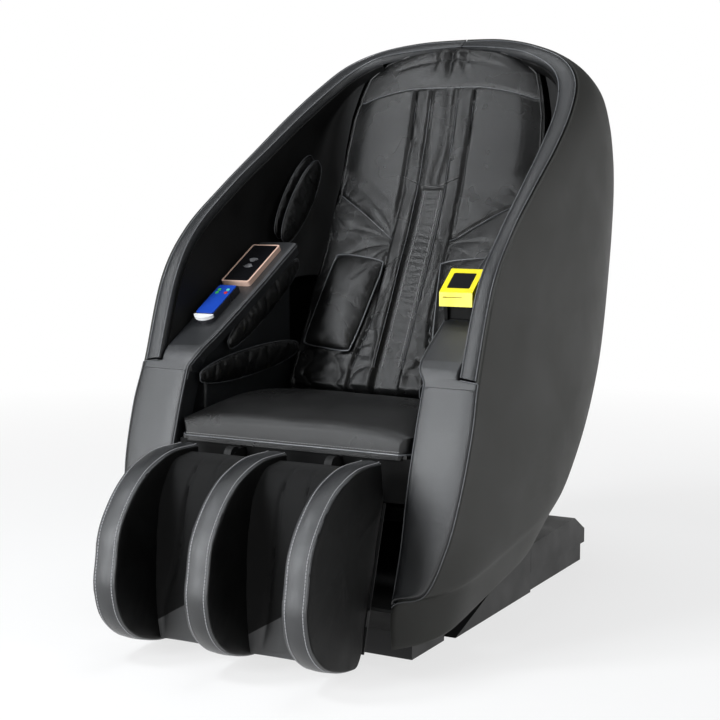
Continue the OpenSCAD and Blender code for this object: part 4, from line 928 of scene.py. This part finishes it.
def fan(a, s, at, count, phase, reach):
    """Puckers that run out from a point where seams meet."""
    angle = np.arctan2(s - at[1], a - at[0])
    far = np.hypot(a - at[0], s - at[1])
    ray = (1 - np.abs(np.sin(angle * count / 2 + phase + 0.012 * far))) ** 4
    return ray * ease(far, 4, 22) * ease(reach - far, 0, reach * 0.6)


def back_depth(x, s, folds=True):
    """How far the cover lies behind the back plane: less is fuller."""
    v = x / back_width(s)
    a = np.abs(x)
    d = np.interp(s, *zip(*HOLLOW)) - 20 * (1 - np.abs(v) ** 4)
    below_head = ease(head_line(x) - s, -2, 10)
    out_edge = STRIP_OUT + 20 * ease(150 - s, 0, 150)
    strip = ease(a, STRIP_IN - 6, STRIP_IN) * ease(out_edge - a, -2, 4) * below_head
    channel = ease(STRIP_IN - 4 - a, 0, 5)
    in_channel = ease(CHANNEL_TOP - s, 0, 10)
    flap = ease(s, CHANNEL_TOP - 2, CHANNEL_TOP + 6) * ease(STRIP_IN + 2 - a, 0, 8) * below_head
    v_gap = line_gap(a, s, V_SEAM)
    panels = ease(a, out_edge, out_edge + 8)
    puff = ease(v_gap, 0, 75) * panels * ease(np.abs(v), 1.0, 0.75) * below_head
    d = d - 7 * strip + channel * (6 * in_channel + 1) * below_head - 8 * puff * ease(s, 330, 420)
    d = d + 3.5 * ridge(v_gap, 4.5) * panels + 3.0 * ridge(s - head_line(x), 4)
    d = d + 2.5 * ridge(a - out_edge, 3.0) * below_head
    if not folds:
        return d
    p = on_back(x, 0 * x, s)
    sign = np.sign(x)
    lower = panels * ease(400 - s + 0.75 * (a - 72), 0, 50)
    d = d - lower * (5 * ease(v_gap, 0, 50) + 2.5 * swell(p * np.array([0.8, 1, 1.5]), 75, 31))
    d = d + lower * 3.2 * fan(a, s, (66, 322), 11, 0.6 + 0.7 * sign, 190)
    d = d + lower * 1.6 * fan(a, s, (262, 420), 13, 1.1 * sign, 130)
    foot = ease(140 - s, 0, 110) * ease(a, 30, 60)
    d = d + foot * (5 * crease(p * np.array([1, 1, 1.8]), 60, 35, 5) - 3 * swell(p, 45, 36))
    d = d - 0.9 * swell(p, 170, 37)
    along = np.sin((a - 55) / 11 + 1.6 * noise(p / np.array([60, 130, 130]), 42))
    d = d + strip * (1.6 * along + 2.2 * crease(p * np.array([1.6, 0.7, 0.7]), 90, 39, 8))
    d = d + channel * 0.35 * np.sin(s / 2.6 + 2 * noise(p / 30, 40)) * in_channel * ease(22 - a, 0, 5)
    d = d + flap * (2.6 * np.sin(x / 7.5 + 1.8 * noise(p / np.array([80, 160, 160]), 41))
                    - 4 * ridge(a - 25, 7.0) * ease(s, 500, 600))
    gather = ridge(a, 46.0) * ease(s, 715, 785)
    pleats = 8 * ridge(a, 5.0) - 9 * ridge(a - 22, 12.0) + 4 * ridge(a - 42, 6.0)
    d = d + (1 - below_head) * (gather * pleats + 1.6 * fan(a, s, (0, 806), 22, 0.4 * sign, 110)
                                + 3 * ridge(s - 772 + a * a / 900, 5) * ease(a, 150, 110))
    return d


def back_sheet(name, low, high, rows, rolled_edge):
    """The cover between two heights; its outer end rolls over by 10."""
    s, side = grid(np.linspace(low, high, rows), crowded(190))
    roll = 10 * (1 - np.clip(np.abs(s - rolled_edge) / 12, 0, 1)) ** 1.6
    x = (back_width(s) - roll * 0.5) * side
    return sheet_of(name, on_back(x, back_depth(x, s) + roll, s), on_back(x, 50 + 0 * x, s))


back = back_sheet("back_hide", BACK_LOW, HEAD_FOOT, 260, BACK_LOW)
dress(back, back_leather, "back_cover")
head = back_sheet("head_panel", HEAD_FOOT, BACK_HIGH, 40, BACK_HIGH)
dress(head, back_leather, "head_pad")

# %% Seams of the back
def back_path(x, s, lift):
    """Path on the cover, raised a little out of it."""
    return on_back(x, back_depth(x, s) - lift, s)


side_s = np.linspace(-24, 792, 136)
edge = back_path(back_width(side_s) - 7, side_s, 0.4)
piping("back_piping", on_both([edge]), 1.9, "piping leather")
x = np.linspace(-225, 225, 90)
x = x[np.abs(x) < back_width(head_line(x)) - 6]
v_x, v_s = batten(V_SEAM, np.linspace(0, 2, 40)).T
inside = v_x < back_width(v_s) - 6
v_seams = [back_path(turned * v_x[inside], v_s[inside], 0.5) for turned in (1, -1)]
piping("back_seams", [back_path(x, head_line(x), 0.4)] + v_seams, 1.1, "painted highlight piping")
s = np.linspace(20, 676, 130)
strip_seams = [back_path(turned * (first + wide * ease(150 - s, 0, 150)), s, 0.3)
               for turned in (-1, 1) for first, wide in ((STRIP_IN - 3, 0), (STRIP_OUT, 20))]
piping("strip_seams", strip_seams, 0.8, "painted highlight piping")
x = np.linspace(-68, 68, 60)
flap_edge = back_path(x, CHANNEL_TOP + 4 - 0.004 * (30 ** 2 - x * x), 0.5)
piping("flap_edge", [flap_edge], 1.3, "piping leather")
s = np.linspace(30, CHANNEL_TOP - 8, 110)
stitches("channel_stitches", [back_path(x + 0 * s, s, 0.6) for x in (-20, 20)], 0.7, "thread")

# %% [markdown]
# ## The hip pads
# Two small pads with corded edges lie on the lower back. They are turned a
# little outwards at the foot, as they hang from a strap at the top.

# %% Hip pads
HIP_X, HIP_S, HIP_W, HIP_H, HIP_T, HIP_TURN = 152, 172, 138, 232, 24, math.radians(8)


def hip_at(a, b, swollen):
    """Point of the pad at a across and b up, both from -1 to 1."""
    k = 1 - 0.05 * (a * b) ** 4
    u0, v0 = a * k * HIP_W / 2, b * k * HIP_H / 2
    x = HIP_X + u0 * math.cos(HIP_TURN) - v0 * math.sin(HIP_TURN)
    s = HIP_S + u0 * math.sin(HIP_TURN) + v0 * math.cos(HIP_TURN)
    return on_back(x, back_depth(x, s, folds=False) - 3 - swollen, s)


b, a = grid(crowded(64), crowded(64))
thick = HIP_T * np.maximum(1 - np.abs(a) ** 4, 0) ** 0.45 * np.maximum(1 - np.abs(b) ** 6, 0) ** 0.45
p = np.stack([a * 68, 0 * a, b * 114], -1)
folded = thick + (1.0 * swell(p, 80, 51) - 1.5 * crease(p, 90, 53, 8)) * ease(thick, 0, 14)
across, up = np.linspace(-1, 1, 20), np.linspace(-1, 1, 34)
loop = ([(i, -1) for i in across] + [(1, i) for i in up[1:]]
        + [(i, 1) for i in across[-2::-1]] + [(-1, i) for i in up[-2::-1]])
loop_a, loop_b = 0.993 * np.array(loop).T
cord_path = hip_at(loop_a, loop_b, 9.0)
left_pad = sheet_of("hip_cushion_left", hip_at(a, b, folded + 3), hip_at(a, b, 0))
puffed(left_pad, cord_path, cap=6, slack=0.004)
dress_pair(left_pad, back_leather, "hip_pad")
piping("hip_piping", on_both([cord_path]), 1.9, "painted highlight piping")

# %% [markdown]
# ## The airbags
# Thin leather bags squeeze the shoulders and arms. Each is two leaves, and each
# leaf is a spindle with a seam round its rim and puckers that run in from it.

# %% Airbags
def leaf(length, width, thick, pointed, seed):
    """A swollen leaf in X and Y, and its rim seam in the middle plane."""
    n = 48
    s, a = grid(np.linspace(-0.985, 0.985, 70), np.linspace(0, 2 * np.pi, n, endpoint=False))
    x = s * length / 2
    y = width / 2 * np.sqrt(1 - s * s) ** pointed * np.cos(a)
    z = thick / 2 * (1 - np.abs(s) ** 3) ** 0.6 * np.sin(a) * (0.55 + 0.45 * np.abs(np.sin(a)))
    p = np.stack([x, y, z], -1)
    pucker = 1.6 * np.sin(x / 7 + 1.5 * noise(p / 40, seed)) * np.abs(np.cos(a)) ** 3 * np.abs(np.sin(a))
    z = z - np.sin(a) * (pucker + 2.5 * crease(p, 70, seed + 3, 6) + 1.2 * swell(p, 50, seed + 7))
    rings = np.stack([x, y, z], -1)
    return rings, np.concatenate([rings[:, 0], rings[::-1, n // 2], rings[:1, 0]])


def stood(points, lean, move):
    """The leaf stands on its side along Y, then leans by some degrees."""
    y, x, z = points[..., 0], points[..., 2], points[..., 1]
    c, s_ = math.cos(math.radians(lean)), math.sin(math.radians(lean))
    return np.stack([x, y * c - z * s_, y * s_ + z * c], -1) + np.array(move)


bag_x, arm_x = ARM_OUT - 15, ARM_IN - 15.3
arm_z = arm_top(0) - (WING_THICK * math.cos(SLOPE) + 31) / math.cos(SLOPE)
BAGS = {
    "shoulder": [(leaf(248, 82, 22, 0.9, 61), 47, (bag_x, 245, 865)),
                 (leaf(248, 82, 22, 0.9, 62), 47, (bag_x - 24.6, 235, 853))],
    "arm": [(leaf(338, 59, 28, 0.8, 71), 29.5, (arm_x, 0, arm_z)),
            (leaf(398, 59, 28, 0.8, 75), 4, (arm_x, -55, 512))]}
rims = []
for kind, leaves in BAGS.items():
    parts = []
    for k, ((rings, rim), lean, move) in enumerate(leaves):
        rims.append(stood(rim, lean, move))
        made = tube_of(f"{kind}_leaf_{k}", stood(rings, lean, move))
        parts.append(puffed(made, rims[-1], cap=3, slack=0.02, voxel=4))
    left_bag = join(f"{kind}_bag_left", parts)
    dress_pair(left_bag, bag_leather, f"{kind}_airbag")
piping("bag_rims", on_both(rims), 1.1, "painted highlight piping")

# %% [markdown]
# ## The leg rest
# Three curved fins stand on a steel frame, with a cloth trough for each calf
# between them. A fin is a foam board with a band of leather round its front; the
# band is stitched down along both its edges.

# %% Fins
FIN = [[-362, 383], [-444, 383], [-511, 365], [-554, 340], [-592, 303], [-622, 256], [-634, 200], [-640, 150],
       [-622, 88], [-570, 40], [-486, 14], [-446, 24], [-420, 105], [-386, 210], [-352, 318]]
FIN_W, FIN_PITCH, FIN_R, BAND_CROWN, BAND_ROWS = 53, 206, 5.0, 3.0, 118
FLAT = FIN_W / 2 - FIN_R
outline = batten(FIN, np.linspace(0, 14, 150))
steps = np.linspace(0, 1, 12, endpoint=False)[1:, None]
outline = np.concatenate([outline, outline[-1] + (outline[0] - outline[-1]) * steps])
d = np.roll(outline, -1, 0) - np.roll(outline, 1, 0)
out2 = unit(np.stack([d[:, 1], -d[:, 0]], -1))
if (((outline - outline.mean(0)) * out2).sum(1)).mean() < 0:
    out2 = -out2
fin_middle = outline.mean(0)
bevel = FLAT + FIN_R * np.sin(np.linspace(np.pi / 2, 0, 7))
xs = np.concatenate([bevel, np.linspace(FLAT, -FLAT, 9)[1:-1], -bevel[::-1]])
inset = FIN_R * rounded(FIN_W / 2 - np.abs(xs), FIN_R) + BAND_CROWN * np.minimum(np.abs(xs) / FLAT, 1) ** 2


def fin_piece(name, middle, seed):
    """One closed skin: a cheek, the band round the front, and the other cheek."""
    cheek = [(FIN_W / 2 + 1.5 * (1 - k ** 4), fin_middle + (outline - out2 * FIN_R - fin_middle) * k)
             for k in np.linspace(0.06, 0.97, 9)]
    front = [(x, outline - out2 * i) for x, i in zip(xs, inset)]
    rings = cheek + front + [(-x, ring) for x, ring in cheek[::-1]]
    rings = np.array([np.column_stack([np.full(len(ring), middle + x), ring]) for x, ring in rings])
    puckers = 1.4 * swell(rings, 70, seed) + 1.2 * crease(rings, 90, seed + 2, 7)
    side = ease(np.abs(rings[..., 0] - middle), FIN_W / 2 - 3, FIN_W / 2)
    rings[..., 0] += np.sign(rings[..., 0] - middle) * puckers * side * 0.9
    made = tube_of(name, rings)
    # darker leather on the cheeks: partly their own dark leather, partly painted shade
    two_tone(made, fin_leather, fin_side_shaded_leather, lambda mid: np.abs(mid[:, 0] - middle) > FIN_W / 2 - 1.6)
    return made


def fin_path(x, sunk):
    """Path along the band at x, sunk below its outline."""
    return np.column_stack([np.full(BAND_ROWS, x), (outline - out2 * sunk)[:BAND_ROWS]])


fin_seams, fin_stitches = [], []
for k, name in ((1, "left"), (0, "middle"), (-1, "right")):
    middle = k * FIN_PITCH
    fin = fin_piece(f"fin_{name}", middle, 80 + k)
    dress(fin, None, f"leg_fin_{name}", "leg_rest")
    for side in (-1, 1):
        fin_seams.append(fin_path(middle + side * (FIN_W / 2 - 2.2), BAND_CROWN + 2.2))
        fin_stitches.append(fin_path(middle + side * (FIN_W / 2 - 8), BAND_CROWN - 0.9))
piping("fin_piping", fin_seams, 1.2, "piping leather", "leg_rest")
stitches("fin_stitches", fin_stitches, 0.9, "pale thread", "leg_rest")

# %% [markdown]
# ## The calf troughs
# Cloth hangs in folds between two fins. Its foot is leather, which rises to a
# point in the middle. The rows of the grid bend with that hem, so that it runs
# between faces and stays clean.

# %% Calf troughs
CALF = [[-392, 372], [-448, 362], [-486, 320], [-506, 250], [-514, 170], [-512, 90], [-500, 24]]
CALF_BACK = [[-368, 345], [-374, 318], [-384, 275], [-402, 220], [-420, 155], [-436, 90], [-452, 30]]
CALF_ROWS, CALF_DIP = 110, 22
HEM, HEM_RISE = 92 / (CALF_ROWS - 1), 0.10
half = (FIN_PITCH - FIN_W) / 2 - 0.4


def hem_shift(v, r):
    return HEM_RISE * (np.abs(v) - 0.5) * ridge(r - HEM, 0.14) * (1 - r) / (1 - HEM)


def below_hem(mid):
    v = np.clip((np.abs(mid[:, 0]) - FIN_PITCH / 2) / half, -1, 1)
    return mid[:, 2] < batten(CALF, (HEM + hem_shift(v, HEM)) * 6)[:, 1]


r, v = grid(np.linspace(0, 1, CALF_ROWS), np.linspace(-1, 1, 46))
r = np.clip(r + hem_shift(v, r), 0, 1)
f_yz, b_yz = batten(CALF, r * 6), batten(CALF_BACK, r * 6)
dip = CALF_DIP * (1 - v * v) * np.sin(np.pi * (r * 16 + 1) / 18)
for k, name in ((1, "left"), (-1, "right")):
    x = k * FIN_PITCH / 2 + half * v
    front = np.stack([x, f_yz[..., 0] + dip, f_yz[..., 1]], -1)
    lean = v * (0.35 + 0.65 * (1 - r)) + 0.25 * k
    folds = 6 * (1 - np.abs(np.sin(5.5 * lean + 0.5 * noise(front / 160, 91 + k)))) ** 5
    folds = folds + 1.5 * swell(front, 90, 95 + k)
    front[..., 1] += folds * (1 - v ** 6) * np.sin(np.pi * r) ** 0.5
    trough = sheet_of(f"calf_trough_{name}", front, np.stack([x, b_yz[..., 0], b_yz[..., 1]], -1))
    two_tone(trough, calf_cloth, fin_leather, below_hem)
    dress(trough, None, f"calf_channel_{name}", "leg_rest")

# %% [markdown]
# ## The sign on the charger
# The glass of the phone charger shows a plain sign for wireless charging: arcs
# that open to both sides.

# %% Charger sign
SIGN_Z = 13.9  # over the armrest, just above the glass
low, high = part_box("charger_frame")
charger_y = (low.y + high.y) / 2 / MM + 14 / 2 * math.sin(SLOPE)
cos, sin = math.cos(SLOPE), math.sin(SLOPE)
arcs = []
for way in (0, 180):
    for radius in (6, 9.5, 13, 16.5):
        angles = np.radians(way + np.linspace(-42, 42, 14))
        along = radius * np.cos(angles) * 1.1
        arcs.append(np.column_stack([radius * np.sin(angles) - ARM_IN - 29,
                                     charger_y + along * cos - SIGN_Z * sin,
                                     arm_top(charger_y) + along * sin + SIGN_Z * cos]))
piping("charger_sign", arcs, 0.75, "symbol grey")

# %% [markdown]
# ## The studio
# A round paper floor that curves up into a low wall, one tall soft box at the front
# left, a high one above it, a weaker one on the right and one overhead. Their light
# adds up to about one, so a colour renders about as it is written. Dark leather is
# drawn by what it mirrors, so the tall box stands where the pillars and fins turn
# towards it, and the high one where the back does. The camera, gloss and glass see
# paper that is mostly white, and it keeps the shadow.

# %% The paper floor
PAPER = [(5600, 0), (6200, 120), (6600, 450), (6800, 1000), (6850, 2600)]
TURNS = 72
angles = np.linspace(0, 2 * np.pi, TURNS, endpoint=False)
points = [(0, 0, 0)] + [(r * math.cos(a), r * math.sin(a), z) for r, z in PAPER for a in angles]
faces = [[0, 1 + k, 1 + (k + 1) % TURNS] for k in range(TURNS)]
for first in range(1, 1 + (len(PAPER) - 1) * TURNS, TURNS):
    faces += [[first + k, first + TURNS + k, first + TURNS + (k + 1) % TURNS, first + (k + 1) % TURNS]
              for k in range(TURNS)]
floor = make_piece("floor", points, faces)
paper, tree = new_material("paper")
matt = tree.nodes["Principled BSDF"]
matt.inputs["Base Color"].default_value = rgba(0.93)
matt.inputs["Roughness"].default_value = 0.75
matt.inputs["Specular IOR Level"].default_value = 0.2
seen = add(tree, "ShaderNodeLightPath").outputs
direct = calc(tree, "ADD", seen["Is Camera Ray"], seen["Is Glossy Ray"])
seen_all = calc(tree, "ADD", direct, seen["Is Transmission Ray"], clamp=True)
where = add(tree, "ShaderNodeTexCoord").outputs["Object"]
far = add(tree, "ShaderNodeVectorMath", [(0, where)], _operation="LENGTH").outputs["Value"]
share = calc(tree, "MULTIPLY", seen_all, ranged(tree, far, 1.2, 3.6, 0.72, 1.0))
glow = add(tree, "ShaderNodeEmission", Color=rgba(1), Strength=1.0)
both = add(tree, "ShaderNodeMixShader", [("Fac", share), (1, matt.outputs[0]), (2, glow.outputs[0])])
tree.links.new(both.outputs[0], tree.nodes["Material Output"].inputs["Surface"])
paint(floor, paper)

# %% World and lamps
world = bpy.data.worlds.new("studio")
scene.world = world
world.use_nodes = True
sky = world.node_tree.nodes["Background"]
sky.inputs["Color"].default_value = rgba(1)
sky.inputs["Strength"].default_value = 0.2


def lamp(name, place, aim, size, power):
    data = bpy.data.lights.new(name, "AREA")
    data.shape = "RECTANGLE"
    data.size, data.size_y = size
    data.energy = power
    data.color = (0.94, 0.97, 1.0)
    o = bpy.data.objects.new(name, data)
    scene.collection.objects.link(o)
    o.location = place
    o.rotation_euler = (Vector(aim) - Vector(place)).to_track_quat("-Z", "Y").to_euler()


lamp("tall soft box", (-1.3, -3.15, 1.3), (0, 0, 0.6), (0.85, 2.4), 110)
lamp("high soft box", (-1.45, -1.6, 2.9), (0, 0.1, 0.7), (0.6, 0.7), 42)
lamp("soft box right", (3.2, -1.2, 2.0), (0.2, 0, 0.6), (0.7, 1.6), 22)
lamp("overhead", (0.0, 0.3, 3.4), (0, 0.1, 0.5), (1.2, 1.2), 22)
